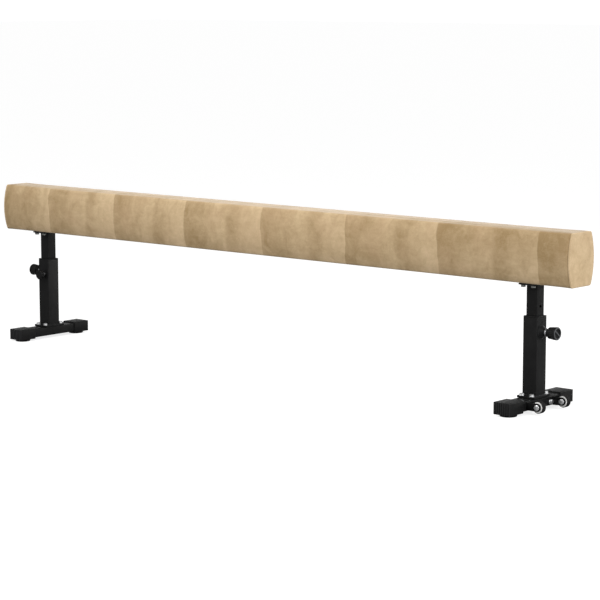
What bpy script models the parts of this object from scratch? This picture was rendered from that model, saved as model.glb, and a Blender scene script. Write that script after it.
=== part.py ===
"""Practice balance beam on two height-adjustable stands, one of them with transport wheels.

Metres, +Z up. The origin is on the floor under the middle of the beam, +X runs along the beam
towards the stand with wheels, and -Y is the side that the front end caps point to.
"""

import math

import bmesh
import bpy
from mathutils import Matrix

# Driving dimensions of the beam.
BEAM_LENGTH = 2.438
BEAM_HEIGHT = 0.160
BEAM_TOP_WIDTH = 0.100
BEAM_MIDDLE_WIDTH = 0.130
BEAM_CORNER_RADIUS = 0.009
BEAM_TOP_Z = 0.542
COVER_THICKNESS = 0.0015
FOAM_THICKNESS = 0.005
END_PANEL_THICKNESS = 0.005

# Driving dimensions of the stands.
STAND_X = 1.058
OUTER_TUBE = 0.050
INNER_TUBE = 0.038
TUBE_WALL = 0.002
OUTER_TUBE_TOP_Z = 0.2796
INNER_TUBE_BOTTOM_Z = 0.138
PLATE_WIDTH = 0.064
PLATE_LENGTH = 0.088
PLATE_CORNER_RADIUS = 0.004
TUBE_CORNER_RADIUS = 0.0025
BASE_PLATE_THICKNESS = 0.0064
TOP_PLATE_THICKNESS = 0.004
BOLT_X = 0.018
BOLT_Y = 0.036
BASE_LENGTH = 0.324
BAR_WIDTH = 0.055
BAR_HEIGHT = 0.030
BAR_BOTTOM_Z = 0.010
CAP_WALL = 0.0032
CAP_LENGTH = 0.068
PAD_RADIUS = 0.026
PAD_HEIGHT = 0.0062
SPIGOT_RADIUS = 0.005

# Height adjustment: the pull pin's axis, the hole rows' pitch, and the clamping screw's axis.
PIN_Z = 0.2367
HOLE_PITCH = 0.076
PIN_HOLE_RADIUS = 0.005
BOSS_END = 0.039
BARREL_END = 0.0465
CLAMP_Z = 0.2280
SNAP_STUD_Z = 0.2652
SNAP_STUD_RADIUS = 0.004

# Transport wheels on the right-hand stand.
WHEEL_RADIUS = 0.0185
WHEEL_WIDTH = 0.018
WHEEL_X = 0.065
WHEEL_Y = 0.064
WHEEL_Z = 0.025
HUB_RADIUS = 0.0162
LUG_RADIUS = 0.012
LUG_THICKNESS = 0.003
BRACKET_BOLT_Y = 0.043
BRACKET_BOLT_Z = 0.022

# Clearances, the depth that welded pieces share, and common hardware sizes.
GAP = 0.0003
WELD_OVERLAP = 0.001
M8_RADIUS = 0.004
M8_HOLE_RADIUS = 0.0045
M8_FLAT = 0.013
M8_NUT_HEIGHT = 0.0065
CLAMP_NUT_FLAT = 0.015

# Facets round a bore or bolt, round a turned piece, round a wheel or foot, along a rounded
# edge, and along the beam's bulging side and its round corner.
BORE_STEPS = 10
TURNED_STEPS = 16
WHEEL_STEPS = 20
ROUNDING_STEPS = 2
BEAM_SIDE_STEPS = 6
BEAM_CORNER_STEPS = 3

# Points closer than this are one point; an edge sharper than this stays sharp.
SAME_POINT = 1e-6
SHARP_ANGLE = math.radians(35)

# Values that follow from the ones above.
BEAM_BOTTOM_Z = BEAM_TOP_Z - BEAM_HEIGHT
BEAM_MIDDLE_Z = BEAM_TOP_Z - BEAM_HEIGHT / 2
BAR_TOP_Z = BAR_BOTTOM_Z + BAR_HEIGHT
BASE_PLATE_Z = BAR_TOP_Z + GAP
BASE_PLATE_TOP_Z = BASE_PLATE_Z + BASE_PLATE_THICKNESS
TOP_PLATE_TOP_Z = BEAM_BOTTOM_Z - GAP
TOP_PLATE_Z = TOP_PLATE_TOP_Z - TOP_PLATE_THICKNESS
CAP_WIDTH = BAR_WIDTH + 2 * (CAP_WALL + GAP)
CAP_HEIGHT = BAR_HEIGHT + 2 * (CAP_WALL + GAP)
CAP_CENTRE_Z = BAR_BOTTOM_Z + BAR_HEIGHT / 2
WHEEL_INNER_Y = WHEEL_Y - WHEEL_WIDTH / 2
WHEEL_OUTER_Y = WHEEL_Y + WHEEL_WIDTH / 2

# Turning a piece's own +Z: along world +X, along world +Y, and along world -Y.
ALONG_X = Matrix(((0, 0, 1), (1, 0, 0), (0, 1, 0))).to_euler()
ALONG_Y = Matrix.Rotation(-math.pi / 2, 3, "X").to_euler()
ALONG_MINUS_Y = Matrix.Rotation(math.pi / 2, 3, "X").to_euler()
UPSIDE_DOWN = Matrix.Rotation(math.pi, 3, "X").to_euler()
HALF_TURN = Matrix.Rotation(math.pi, 3, "Z").to_euler()
UPRIGHT = Matrix.Identity(3).to_euler()

for old in list(bpy.data.objects):
    bpy.data.objects.remove(old)

PARTS = bpy.data.collections.new("balance_beam")
CUTTERS = bpy.data.collections.new("cutters")
bpy.context.scene.collection.children.link(PARTS)
bpy.context.scene.collection.children.link(CUTTERS)


# Materials


def material(name, colour, roughness, metallic=0.0):
    """A Principled material with one colour."""
    made = bpy.data.materials.new(name)
    made.use_nodes = True
    shader = made.node_tree.nodes["Principled BSDF"]
    shader.inputs["Base Color"].default_value = (*colour, 1.0)
    shader.inputs["Roughness"].default_value = roughness
    shader.inputs["Metallic"].default_value = metallic
    return made


SUEDE = material("tan_suede", (0.50, 0.38, 0.25), 0.95)
FOAM = material("foam", (0.75, 0.72, 0.62), 0.9)
WOOD = material("laminated_wood", (0.55, 0.37, 0.20), 0.6)
BLACK_PAINT = material("black_powder_coat", (0.015, 0.015, 0.015), 0.45)
BLACK_PLASTIC = material("black_plastic", (0.02, 0.02, 0.02), 0.5)
BLACK_RUBBER = material("black_rubber", (0.018, 0.018, 0.018), 0.8)
NYLON = material("white_nylon", (0.82, 0.82, 0.80), 0.45)
ZINC = material("zinc_plated_steel", (0.75, 0.75, 0.74), 0.28, 1.0)
SPRING_STEEL = material("spring_steel", (0.55, 0.55, 0.56), 0.35, 1.0)


# Outlines, as lists of points in the plane


def rounded_rectangle(width, height, radius):
    """Outline of a rectangle with round corners, centred on the origin."""
    points = []
    for quarter in range(4):
        sign_x = 1 if quarter in (0, 3) else -1
        sign_y = 1 if quarter in (0, 1) else -1
        for step in range(ROUNDING_STEPS + 1):
            angle = math.pi / 2 * (quarter + step / ROUNDING_STEPS)
            x = sign_x * (width / 2 - radius) + radius * math.cos(angle)
            y = sign_y * (height / 2 - radius) + radius * math.sin(angle)
            points.append((x, y))
    return points


def circle(radius, centre=(0.0, 0.0), steps=BORE_STEPS):
    """Outline of a circle."""
    angles = [2 * math.pi * step / steps for step in range(steps)]
    return [(centre[0] + radius * math.cos(a), centre[1] + radius * math.sin(a)) for a in angles]


def hexagon(across_flats):
    """Outline of a hexagon."""
    return circle(across_flats / math.sqrt(3), steps=6)


def beam_outline(inset=0.0):
    """Section of the beam: flat top and bottom, sides that bulge as arcs, round corners."""
    bulge = (BEAM_MIDDLE_WIDTH - BEAM_TOP_WIDTH) / 2
    side_radius = ((BEAM_HEIGHT / 2) ** 2 + bulge**2) / (2 * bulge)
    side_centre = BEAM_MIDDLE_WIDTH / 2 - side_radius
    corner = BEAM_CORNER_RADIUS
    corner_z = BEAM_HEIGHT / 2 - corner
    corner_y = side_centre + math.sqrt((side_radius - corner) ** 2 - corner_z**2)
    side_angle = math.atan2(corner_z, corner_y - side_centre)
    right_side = []
    for step in range(BEAM_SIDE_STEPS + 1):
        angle = side_angle * (2 * step / BEAM_SIDE_STEPS - 1)
        reach = side_radius - inset
        right_side.append((side_centre + reach * math.cos(angle), reach * math.sin(angle)))
    for step in range(1, BEAM_CORNER_STEPS + 1):
        angle = side_angle + (math.pi / 2 - side_angle) * step / BEAM_CORNER_STEPS
        reach = corner - inset
        right_side.append((corner_y + reach * math.cos(angle), corner_z + reach * math.sin(angle)))
    lower = [(y, -z) for y, z in reversed(right_side[BEAM_SIDE_STEPS + 1:])]
    right_side = lower + right_side
    left_side = [(-y, -z) for y, z in right_side]
    return right_side + left_side


# Solids


def link(name, data, collection=PARTS):
    """A new object in a collection."""
    made = bpy.data.objects.new(name, data)
    collection.objects.link(made)
    return made


def baked(maker, look):
    """The evaluated mesh of a temporary object, welded, with one material; the object is removed."""
    bpy.context.view_layer.update()
    graph = bpy.context.evaluated_depsgraph_get()
    mesh = bpy.data.meshes.new_from_object(maker.evaluated_get(graph), depsgraph=graph)
    mesh.transform(maker.matrix_world)
    shape = bmesh.new()
    shape.from_mesh(mesh)
    bmesh.ops.remove_doubles(shape, verts=shape.verts, dist=SAME_POINT)
    bmesh.ops.recalc_face_normals(shape, faces=shape.faces)
    shape.to_mesh(mesh)
    shape.free()
    mesh.materials.clear()
    mesh.materials.append(look)
    mesh.shade_smooth()
    mesh.set_sharp_from_angle(angle=SHARP_ANGLE)
    bpy.data.objects.remove(maker)
    return mesh


def flat_solid(outlines, bottom, top, look, turn=UPRIGHT, centre=(0.0, 0.0, 0.0)):
    """Outlines filled and extruded from bottom to top along the piece's own Z; inner ones are holes."""
    curve = bpy.data.curves.new("outline", "CURVE")
    curve.dimensions = "2D"
    curve.fill_mode = "BOTH"
    curve.extrude = (top - bottom) / 2
    for outline in outlines:
        spline = curve.splines.new("POLY")
        spline.points.add(len(outline) - 1)
        for point, (x, y) in zip(spline.points, outline):
            point.co = (x, y, 0.0, 1.0)
        spline.use_cyclic_u = True
    maker = link("outline", curve, CUTTERS)
    turned_frame = turn.to_matrix().to_4x4()
    lift = Matrix.Translation((0.0, 0.0, (top + bottom) / 2))
    maker.matrix_world = Matrix.Translation(centre) @ turned_frame @ lift
    return baked(maker, look)


def turned_solid(profile, look, hollow=False, steps=TURNED_STEPS, turn=UPRIGHT, centre=(0.0, 0.0, 0.0)):
    """A profile of (radius, height) points, listed down its outer side, turned about Z.

    A hollow profile goes on round and up its bore, and closes on its first point.
    """
    mesh = bpy.data.meshes.new("profile")
    edges = [(i, i + 1) for i in range(len(profile) - 1)]
    if hollow:
        edges.append((len(profile) - 1, 0))
    mesh.from_pydata([(radius, 0.0, height) for radius, height in profile], edges, [])
    maker = link("profile", mesh, CUTTERS)
    screw = maker.modifiers.new("turn", "SCREW")
    screw.steps = steps
    screw.render_steps = steps
    screw.use_merge_vertices = True
    screw.merge_threshold = 10 * SAME_POINT
    maker.matrix_world = Matrix.Translation(centre) @ turn.to_matrix().to_4x4()
    return baked(maker, look)


def block(size, centre, look, bevel=0.0):
    """A box with rounded edges."""
    mesh = bpy.data.meshes.new("block")
    shape = bmesh.new()
    bmesh.ops.create_cube(shape, size=1.0)
    bmesh.ops.scale(shape, vec=size, verts=shape.verts)
    bmesh.ops.translate(shape, vec=centre, verts=shape.verts)
    shape.to_mesh(mesh)
    shape.free()
    maker = link("block", mesh, CUTTERS)
    if bevel:
        rounding = maker.modifiers.new("rounding", "BEVEL")
        rounding.width = bevel
        rounding.segments = ROUNDING_STEPS
    return baked(maker, look)


def rods(radius, length, centres, turn=UPRIGHT):
    """Cylinders along the turned Z axis, all in one mesh, used to cut round holes."""
    mesh = bpy.data.meshes.new("rods")
    shape = bmesh.new()
    for centre in centres:
        place = Matrix.Translation(centre) @ turn.to_matrix().to_4x4()
        bmesh.ops.create_cone(
            shape,
            cap_ends=True,
            segments=BORE_STEPS,
            radius1=radius,
            radius2=radius,
            depth=length,
            matrix=place,
        )
    shape.to_mesh(mesh)
    shape.free()
    return mesh


def combined(base, others, operation, look):
    """The base mesh joined with, or cut by, each of the other meshes."""
    body = link("body", base, CUTTERS)
    tools = []
    for other in others:
        tool = link("tool", other, CUTTERS)
        tool.hide_render = True
        tool.display_type = "WIRE"
        step = body.modifiers.new("boolean", "BOOLEAN")
        step.operation = operation
        step.object = tool
        tools.append(tool)
    mesh = baked(body, look)
    for tool in tools:
        bpy.data.objects.remove(tool)
    return mesh


def joined(base, others, look):
    return combined(base, others, "UNION", look)


def cut(base, others, look):
    return combined(base, others, "DIFFERENCE", look)


def place(name, mesh, parent, location=(0.0, 0.0, 0.0), turn=UPRIGHT):
    """One named piece, set on its parent frame."""
    made = link(name, mesh)
    made.parent = parent
    made.location = location
    made.rotation_euler = turn
    return made


def frame(name, location, turn=UPRIGHT):
    """An empty that a group of pieces hangs on."""
    made = link(name, None)
    made.location = location
    made.rotation_euler = turn
    return made


# Hardware


def hex_bolt(across_flats, head_height, flange_radius, shank_radius, shank_length):
    """Hexagon bolt with a washer face. The head points up and its seat is at height zero."""
    flange_height = 0.0015
    tip = shank_radius / 4
    inside = across_flats * 0.4
    middle = flange_height + head_height / 2
    stem = turned_solid(
        [
            (0.0, middle),
            (inside, middle),
            (inside, flange_height),
            (flange_radius, flange_height),
            (flange_radius, 0.0),
            (shank_radius, 0.0),
            (shank_radius, tip - shank_length),
            (shank_radius - tip, -shank_length),
            (0.0, -shank_length),
        ],
        ZINC,
        steps=BORE_STEPS,
    )
    top = flange_height + head_height
    head = flat_solid([hexagon(across_flats)], flange_height / 2, top, ZINC)
    return joined(stem, [head], ZINC)


def bolt_places():
    """The four bolt positions of a plate, front pair first."""
    return [(side * BOLT_X, end * BOLT_Y) for end in (-1, 1) for side in (-1, 1)]


# Beam


def beam_sleeve(outer_inset, inner_inset, length, look):
    """A tube of the beam's section, with bolt holes through its underside."""
    outlines = [beam_outline(outer_inset), beam_outline(inner_inset)]
    centre = (0.0, 0.0, BEAM_MIDDLE_Z)
    tube = flat_solid(outlines, -length / 2, length / 2, look, ALONG_X, centre)
    return cut(tube, [beam_bolt_bores()], look)


def beam_bolt_bores():
    """Bores for the eight bolts that hold the top plates."""
    start = BEAM_BOTTOM_Z - 0.001
    end = BEAM_BOTTOM_Z + 0.031
    centres = []
    for side in (-1, 1):
        for x, y in bolt_places():
            centres.append((side * STAND_X + x, y, (start + end) / 2))
    return rods(M8_RADIUS + GAP, end - start, centres)


def build_beam(hanger):
    """Core, padding, cover and the two end panels."""
    inner_length = BEAM_LENGTH - 2 * (END_PANEL_THICKNESS + GAP)
    foam_outer = COVER_THICKNESS + GAP
    foam_inner = foam_outer + FOAM_THICKNESS
    core_inset = foam_inner + GAP
    half = inner_length / 2
    centre = (0.0, 0.0, BEAM_MIDDLE_Z)
    core = flat_solid([beam_outline(core_inset)], -half, half, WOOD, ALONG_X, centre)
    pieces = {
        "wood_core": cut(core, [beam_bolt_bores()], WOOD),
        "foam_padding": beam_sleeve(foam_outer, foam_inner, inner_length, FOAM),
        "suede_cover": beam_sleeve(0.0, COVER_THICKNESS, inner_length, SUEDE),
    }
    for name, mesh in pieces.items():
        mesh.transform(Matrix.Translation((0.0, 0.0, -BEAM_BOTTOM_Z)))
        place(name, mesh, hanger)
    panel = flat_solid([beam_outline()], 0.0, END_PANEL_THICKNESS, SUEDE, ALONG_X)
    x = BEAM_LENGTH / 2 - END_PANEL_THICKNESS
    z = BEAM_HEIGHT / 2
    place("end_panel_right", panel, hanger, (x, 0.0, z))
    place("end_panel_left", panel, hanger, (-x, 0.0, z), HALF_TURN)


# Telescopic posts


def plate_solid(bottom, top):
    """A bolted plate with four holes."""
    outlines = [rounded_rectangle(PLATE_WIDTH, PLATE_LENGTH, PLATE_CORNER_RADIUS)]
    outlines += [circle(M8_HOLE_RADIUS, centre) for centre in bolt_places()]
    return flat_solid(outlines, bottom, top, BLACK_PAINT)


def square_tube(width, bottom, top):
    """A square hollow section standing upright."""
    bore = width - 2 * TUBE_WALL
    outlines = [rounded_rectangle(width, width, TUBE_CORNER_RADIUS)]
    outlines.append(rounded_rectangle(bore, bore, TUBE_CORNER_RADIUS - TUBE_WALL))
    return flat_solid(outlines, bottom, top, BLACK_PAINT)


def outer_post_mesh():
    """Outer tube welded to its base plate, with the welded boss of the pull pin."""
    half = OUTER_TUBE / 2
    wall_middle = half - TUBE_WALL / 2
    boss_start = half - WELD_OVERLAP / 2
    boss_bore = 0.0076
    boss_profile = [
        (boss_bore, BOSS_END),
        (0.0100, BOSS_END),
        (0.0115, BOSS_END - 0.004),
        (0.0195, half + 0.001),
        (0.0195, boss_start),
        (boss_bore, boss_start),
    ]
    tube = square_tube(OUTER_TUBE, BASE_PLATE_TOP_Z - WELD_OVERLAP, OUTER_TUBE_TOP_Z)
    boss = turned_solid(
        boss_profile, BLACK_PAINT, hollow=True, turn=ALONG_X, centre=(0.0, 0.0, PIN_Z)
    )
    welded = joined(tube, [plate_solid(BASE_PLATE_Z, BASE_PLATE_TOP_Z), boss], BLACK_PAINT)
    through = 3 * TUBE_WALL
    pin_hole = rods(PIN_HOLE_RADIUS, through, [(wall_middle, 0.0, PIN_Z)], ALONG_X)
    stud_place = (wall_middle, 0.0, SNAP_STUD_Z)
    stud_hole = rods(SNAP_STUD_RADIUS + GAP, through, [stud_place], ALONG_X)
    clamp_hole = rods(PIN_HOLE_RADIUS, through, [(0.0, wall_middle, CLAMP_Z)], ALONG_Y)
    return cut(welded, [pin_hole, stud_hole, clamp_hole], BLACK_PAINT)


def inner_post_mesh():
    """Inner tube with its row of pin holes, welded to the plate under the beam."""
    tube = square_tube(INNER_TUBE, INNER_TUBE_BOTTOM_Z, TOP_PLATE_Z + WELD_OVERLAP)
    welded = joined(tube, [plate_solid(TOP_PLATE_Z, TOP_PLATE_TOP_Z)], BLACK_PAINT)
    heights = [PIN_Z + step * HOLE_PITCH for step in (-1, 0, 1)]
    places = [(INNER_TUBE / 2, 0.0, height) for height in heights]
    holes = rods(PIN_HOLE_RADIUS, 4 * TUBE_WALL, places, ALONG_X)
    return cut(welded, [holes], BLACK_PAINT)


def guide_bushing_mesh():
    """Plastic guide in the outer tube's mouth, held by a stud that snaps into the tube's wall."""
    bore = INNER_TUBE + 2 * GAP
    skirt_width = OUTER_TUBE - 2 * TUBE_WALL - 2 * GAP
    flange_bottom = OUTER_TUBE_TOP_Z + GAP
    flange_top = flange_bottom + 0.004
    skirt_bottom = OUTER_TUBE_TOP_Z - 0.030
    skirt_top = flange_bottom + WELD_OVERLAP
    skirt_corner = TUBE_CORNER_RADIUS - TUBE_WALL - GAP
    inner = rounded_rectangle(bore, bore, TUBE_CORNER_RADIUS)
    skirt_outer = rounded_rectangle(skirt_width, skirt_width, skirt_corner)
    flange_outer = rounded_rectangle(OUTER_TUBE, OUTER_TUBE, TUBE_CORNER_RADIUS)
    skirt = flat_solid([skirt_outer, inner], skirt_bottom, skirt_top, BLACK_PLASTIC)
    flange = flat_solid([flange_outer, inner], flange_bottom, flange_top, BLACK_PLASTIC)
    stud_tip = OUTER_TUBE / 2 - GAP
    stud_root = skirt_width / 2 - WELD_OVERLAP
    stud_centre = ((stud_tip + stud_root) / 2, 0.0, SNAP_STUD_Z)
    stud = rods(SNAP_STUD_RADIUS, stud_tip - stud_root, [stud_centre], ALONG_X)
    return joined(skirt, [flange, stud], BLACK_PLASTIC)


def glide_plug_mesh():
    """Plastic plug in the inner tube's lower end, with a collar that slides in the outer tube."""
    collar_width = OUTER_TUBE - 2 * (TUBE_WALL + GAP)
    collar_outline = rounded_rectangle(collar_width, collar_width, 0.003)
    collar_top = INNER_TUBE_BOTTOM_Z - GAP
    collar_bottom = collar_top - 0.0075
    spigot_width = INNER_TUBE - 2 * (TUBE_WALL + GAP)
    spigot_outline = rounded_rectangle(spigot_width, spigot_width, 0.002)
    spigot_bottom = collar_top - WELD_OVERLAP
    spigot_top = collar_top + 0.012
    collar = flat_solid([collar_outline], collar_bottom, collar_top, BLACK_PLASTIC)
    spigot = flat_solid([spigot_outline], spigot_bottom, spigot_top, BLACK_PLASTIC)
    return joined(collar, [spigot], BLACK_PLASTIC)


# Base


def base_bar_mesh(with_wheels):
    """Rectangular tube across the beam, drilled for the post and, on one stand, the wheel bracket."""
    outer = rounded_rectangle(BAR_WIDTH, BAR_HEIGHT, 0.003)
    inner = rounded_rectangle(BAR_WIDTH - 2 * TUBE_WALL, BAR_HEIGHT - 2 * TUBE_WALL, 0.001)
    half = BASE_LENGTH / 2 - CAP_WALL - GAP
    centre = (0.0, 0.0, CAP_CENTRE_Z)
    bar = flat_solid([outer, inner], -half, half, BLACK_PAINT, ALONG_MINUS_Y, centre)
    through = 4 * TUBE_WALL
    post_holes = [(x, y, BAR_TOP_Z) for x, y in bolt_places()]
    cutters = [rods(M8_HOLE_RADIUS, through, post_holes)]
    if with_wheels:
        sides = [(BAR_WIDTH / 2, end * BRACKET_BOLT_Y, BRACKET_BOLT_Z) for end in (-1, 1)]
        cutters.append(rods(M8_HOLE_RADIUS, through, sides, ALONG_X))
    return cut(bar, cutters, BLACK_PAINT)


def end_cap_mesh():
    """Moulded cap for the front end of a base bar: a box with a pocket that opens towards +Y."""
    rounding = 0.0025
    body = block((CAP_WIDTH, CAP_LENGTH, CAP_HEIGHT), (0.0, 0.0, 0.0), BLACK_PLASTIC, rounding)
    pocket_size = (BAR_WIDTH + 2 * GAP, CAP_LENGTH, BAR_HEIGHT + 2 * GAP)
    pocket = block(pocket_size, (0.0, CAP_WALL, 0.0), BLACK_PLASTIC)
    spigot_hole = rods(SPIGOT_RADIUS + GAP, 3 * CAP_WALL, [(0.0, 0.0, -CAP_HEIGHT / 2)])
    return cut(body, [pocket, spigot_hole], BLACK_PLASTIC)


def foot_pad_mesh():
    """Round rubber foot with a spigot that pushes into the cap above it."""
    spigot_top = PAD_HEIGHT + 0.003
    chamfer = 0.0012
    profile = [
        (0.0, spigot_top),
        (SPIGOT_RADIUS, spigot_top),
        (SPIGOT_RADIUS, PAD_HEIGHT),
        (PAD_RADIUS, PAD_HEIGHT),
        (PAD_RADIUS, chamfer),
        (PAD_RADIUS - chamfer, 0.0),
        (0.0, 0.0),
    ]
    return turned_solid(profile, BLACK_RUBBER, steps=WHEEL_STEPS)


# Pull pin. Heights in these profiles are distances from the post's middle, along the pin's axis.


def pin_barrel_mesh():
    """Steel barrel screwed into the post's boss: it guides the plunger and holds its spring."""
    inner_end = OUTER_TUBE / 2 + GAP
    shoulder = BOSS_END + GAP
    end_wall = 0.002
    rod_bore = 0.0044
    spring_bore = 0.0056
    profile = [
        (rod_bore, BARREL_END),
        (0.0085, BARREL_END),
        (0.0095, BARREL_END - 0.001),
        (0.0095, shoulder),
        (0.0073, shoulder),
        (0.0073, inner_end),
        (rod_bore, inner_end),
        (rod_bore, inner_end + end_wall),
        (spring_bore, inner_end + end_wall),
        (spring_bore, BARREL_END - end_wall),
        (rod_bore, BARREL_END - end_wall),
    ]
    return turned_solid(profile, ZINC, hollow=True)


def pin_plunger_mesh():
    """Steel plunger drawn back to its stop, its tip just clear of the inner tube."""
    profile = [
        (0.0, 0.0657),
        (0.0040, 0.0657),
        (0.0040, 0.0370),
        (0.0053, 0.0370),
        (0.0053, 0.0356),
        (0.0040, 0.0356),
        (0.0040, 0.0230),
        (0.0030, 0.0212),
        (0.0, 0.0212),
    ]
    return turned_solid(profile, ZINC, steps=BORE_STEPS)


def pin_spring_mesh():
    """Compression spring between the plunger's collar and the barrel's outer end, compressed."""
    turns = 4.5
    steps_per_turn = 10
    wire = 0.00035
    radius = 0.00478
    start = 0.0374 + wire
    length = 0.0060
    count = int(turns * steps_per_turn) + 1
    curve = bpy.data.curves.new("coil", "CURVE")
    curve.dimensions = "3D"
    curve.bevel_depth = wire
    curve.bevel_resolution = 0
    curve.use_fill_caps = True
    spline = curve.splines.new("POLY")
    spline.points.add(count - 1)
    for index, point in enumerate(spline.points):
        angle = 2 * math.pi * index / steps_per_turn
        height = start + length * index / (count - 1)
        point.co = (radius * math.cos(angle), radius * math.sin(angle), height, 1.0)
    return baked(link("coil", curve, CUTTERS), SPRING_STEEL)


def pull_knob_mesh():
    """Grip of the pull pin, with a recess that slides over the barrel."""
    profile = [
        (0.0, 0.0825),
        (0.0176, 0.0825),
        (0.0197, 0.0803),
        (0.0172, 0.0540),
        (0.0155, 0.0530),
        (0.0130, 0.0526),
        (0.0125, 0.0473),
        (0.0102, 0.0473),
        (0.0102, 0.0556),
        (0.0043, 0.0556),
        (0.0043, 0.0660),
        (0.0, 0.0660),
    ]
    return turned_solid(profile, BLACK_PLASTIC)


# Clamping screw. Heights are distances from the post's middle, along the screw's axis.


def clamp_nut_mesh():
    """Hexagon nut on the outer tube that the clamping screw turns in."""
    outlines = [hexagon(CLAMP_NUT_FLAT), circle(M8_RADIUS + GAP)]
    bottom = OUTER_TUBE / 2 + GAP
    return flat_solid(outlines, bottom, bottom + M8_NUT_HEIGHT, ZINC)


def clamp_knob_mesh():
    """Round knob moulded on a stud that presses on the inner tube."""
    profile = [
        (0.0, 0.0480),
        (0.0150, 0.0480),
        (0.0175, 0.0460),
        (0.0175, 0.0380),
        (0.0155, 0.0360),
        (0.0080, 0.0340),
        (M8_RADIUS, 0.0340),
        (M8_RADIUS, 0.0205),
        (0.0030, 0.0194),
        (0.0, 0.0194),
    ]
    return turned_solid(profile, BLACK_PLASTIC)


# Wheels


def wheel_bracket_mesh():
    """Flat bar with four lugs, bolted to the side of the base bar, with nuts welded for the axles."""
    web_x = BAR_WIDTH / 2 + GAP
    lug_gap = 0.0005
    inner_lug = WHEEL_INNER_Y - lug_gap - LUG_THICKNESS / 2
    outer_lug = WHEEL_OUTER_Y + lug_gap + LUG_THICKNESS / 2
    web_length = 2 * outer_lug + LUG_THICKNESS
    web_size = (LUG_THICKNESS, web_length, 2 * LUG_RADIUS)
    web = block(web_size, (web_x + LUG_THICKNESS / 2, 0.0, WHEEL_Z), BLACK_PAINT)
    reach = WHEEL_X - web_x
    arc = [math.pi / 2 - math.pi * step / 8 for step in range(9)]
    outline = [(reach + LUG_RADIUS * math.cos(a), LUG_RADIUS * math.sin(a)) for a in arc]
    root = LUG_THICKNESS / 6
    outline += [(root, -LUG_RADIUS), (root, LUG_RADIUS)]
    hole = circle(M8_RADIUS + GAP, (reach, 0.0))
    added = []
    for y in (-outer_lug, -inner_lug, inner_lug, outer_lug):
        corner = (web_x, y, WHEEL_Z)
        half = LUG_THICKNESS / 2
        lug = flat_solid([outline, hole], -half, half, BLACK_PAINT, ALONG_MINUS_Y, corner)
        added.append(lug)
    nut_outlines = [hexagon(M8_FLAT), circle(M8_RADIUS + GAP)]
    nut_root = -WELD_OVERLAP / 2
    for y in (-inner_lug, outer_lug):
        face = (WHEEL_X, y + LUG_THICKNESS / 2, WHEEL_Z)
        nut = flat_solid(nut_outlines, nut_root, M8_NUT_HEIGHT, BLACK_PAINT, ALONG_Y, face)
        added.append(nut)
    welded = joined(web, added, BLACK_PAINT)
    places = [(web_x, end * BRACKET_BOLT_Y, BRACKET_BOLT_Z) for end in (-1, 1)]
    holes = rods(M8_HOLE_RADIUS, 4 * LUG_THICKNESS, places, ALONG_X)
    return cut(welded, [holes], BLACK_PAINT)


def wheel_tyre_mesh():
    """Thin rubber tyre, centred on its own origin."""
    half = WHEEL_WIDTH / 2
    bore = HUB_RADIUS + GAP
    shoulder = 0.002
    face_radius = WHEEL_RADIUS - 0.0012
    profile = [
        (bore, half),
        (face_radius, half),
        (WHEEL_RADIUS, half - shoulder),
        (WHEEL_RADIUS, shoulder - half),
        (face_radius, -half),
        (bore, -half),
    ]
    return turned_solid(profile, BLACK_RUBBER, hollow=True, steps=WHEEL_STEPS)


def wheel_hub_mesh():
    """Nylon hub with chamfered rims, centred on its own origin."""
    half = WHEEL_WIDTH / 2 - GAP / 2
    bore = M8_RADIUS + GAP
    chamfer = 0.0006
    profile = [
        (bore, half),
        (HUB_RADIUS - chamfer, half),
        (HUB_RADIUS, half - chamfer),
        (HUB_RADIUS, chamfer - half),
        (HUB_RADIUS - chamfer, -half),
        (bore, -half),
    ]
    return turned_solid(profile, NYLON, hollow=True, steps=WHEEL_STEPS)


def build_wheels(stand):
    """Bracket, axle bolts, hubs, tyres and the bracket's own bolts."""
    place("wheel_bracket", wheel_bracket_mesh(), stand)
    tyre = wheel_tyre_mesh()
    hub = wheel_hub_mesh()
    axle = hex_bolt(M8_FLAT, 0.0053, 0.0080, M8_RADIUS, 0.034)
    bracket_bolt = hex_bolt(M8_FLAT, 0.0053, 0.0080, M8_RADIUS, 0.012)
    seat_x = BAR_WIDTH / 2 + LUG_THICKNESS + 2 * GAP
    head_offset = WHEEL_WIDTH / 2 + 0.0005 + LUG_THICKNESS + GAP
    for name, end in (("front", -1), ("rear", 1)):
        y = end * WHEEL_Y
        place(f"wheel_tyre_{name}", tyre, stand, (WHEEL_X, y, WHEEL_Z), ALONG_MINUS_Y)
        place(f"wheel_hub_{name}", hub, stand, (WHEEL_X, y, WHEEL_Z), ALONG_MINUS_Y)
        seat = (WHEEL_X, y - head_offset, WHEEL_Z)
        place(f"axle_bolt_{name}", axle, stand, seat, ALONG_MINUS_Y)
        seat = (seat_x, end * BRACKET_BOLT_Y, BRACKET_BOLT_Z)
        place(f"bracket_bolt_{name}", bracket_bolt, stand, seat, ALONG_X)


# Assembly


def stand_meshes():
    """Meshes that both stands share."""
    return {
        "outer_post": outer_post_mesh(),
        "inner_post": inner_post_mesh(),
        "guide_bushing": guide_bushing_mesh(),
        "glide_plug": glide_plug_mesh(),
        "end_cap": end_cap_mesh(),
        "foot_pad": foot_pad_mesh(),
        "pin_barrel": pin_barrel_mesh(),
        "pin_plunger": pin_plunger_mesh(),
        "pin_spring": pin_spring_mesh(),
        "pull_knob": pull_knob_mesh(),
        "clamp_nut": clamp_nut_mesh(),
        "clamp_knob": clamp_knob_mesh(),
        "beam_bolt": hex_bolt(M8_FLAT, 0.0053, 0.0080, M8_RADIUS, 0.034),
        "base_bolt": hex_bolt(M8_FLAT, 0.0053, 0.0080, M8_RADIUS, 0.014),
    }


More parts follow.
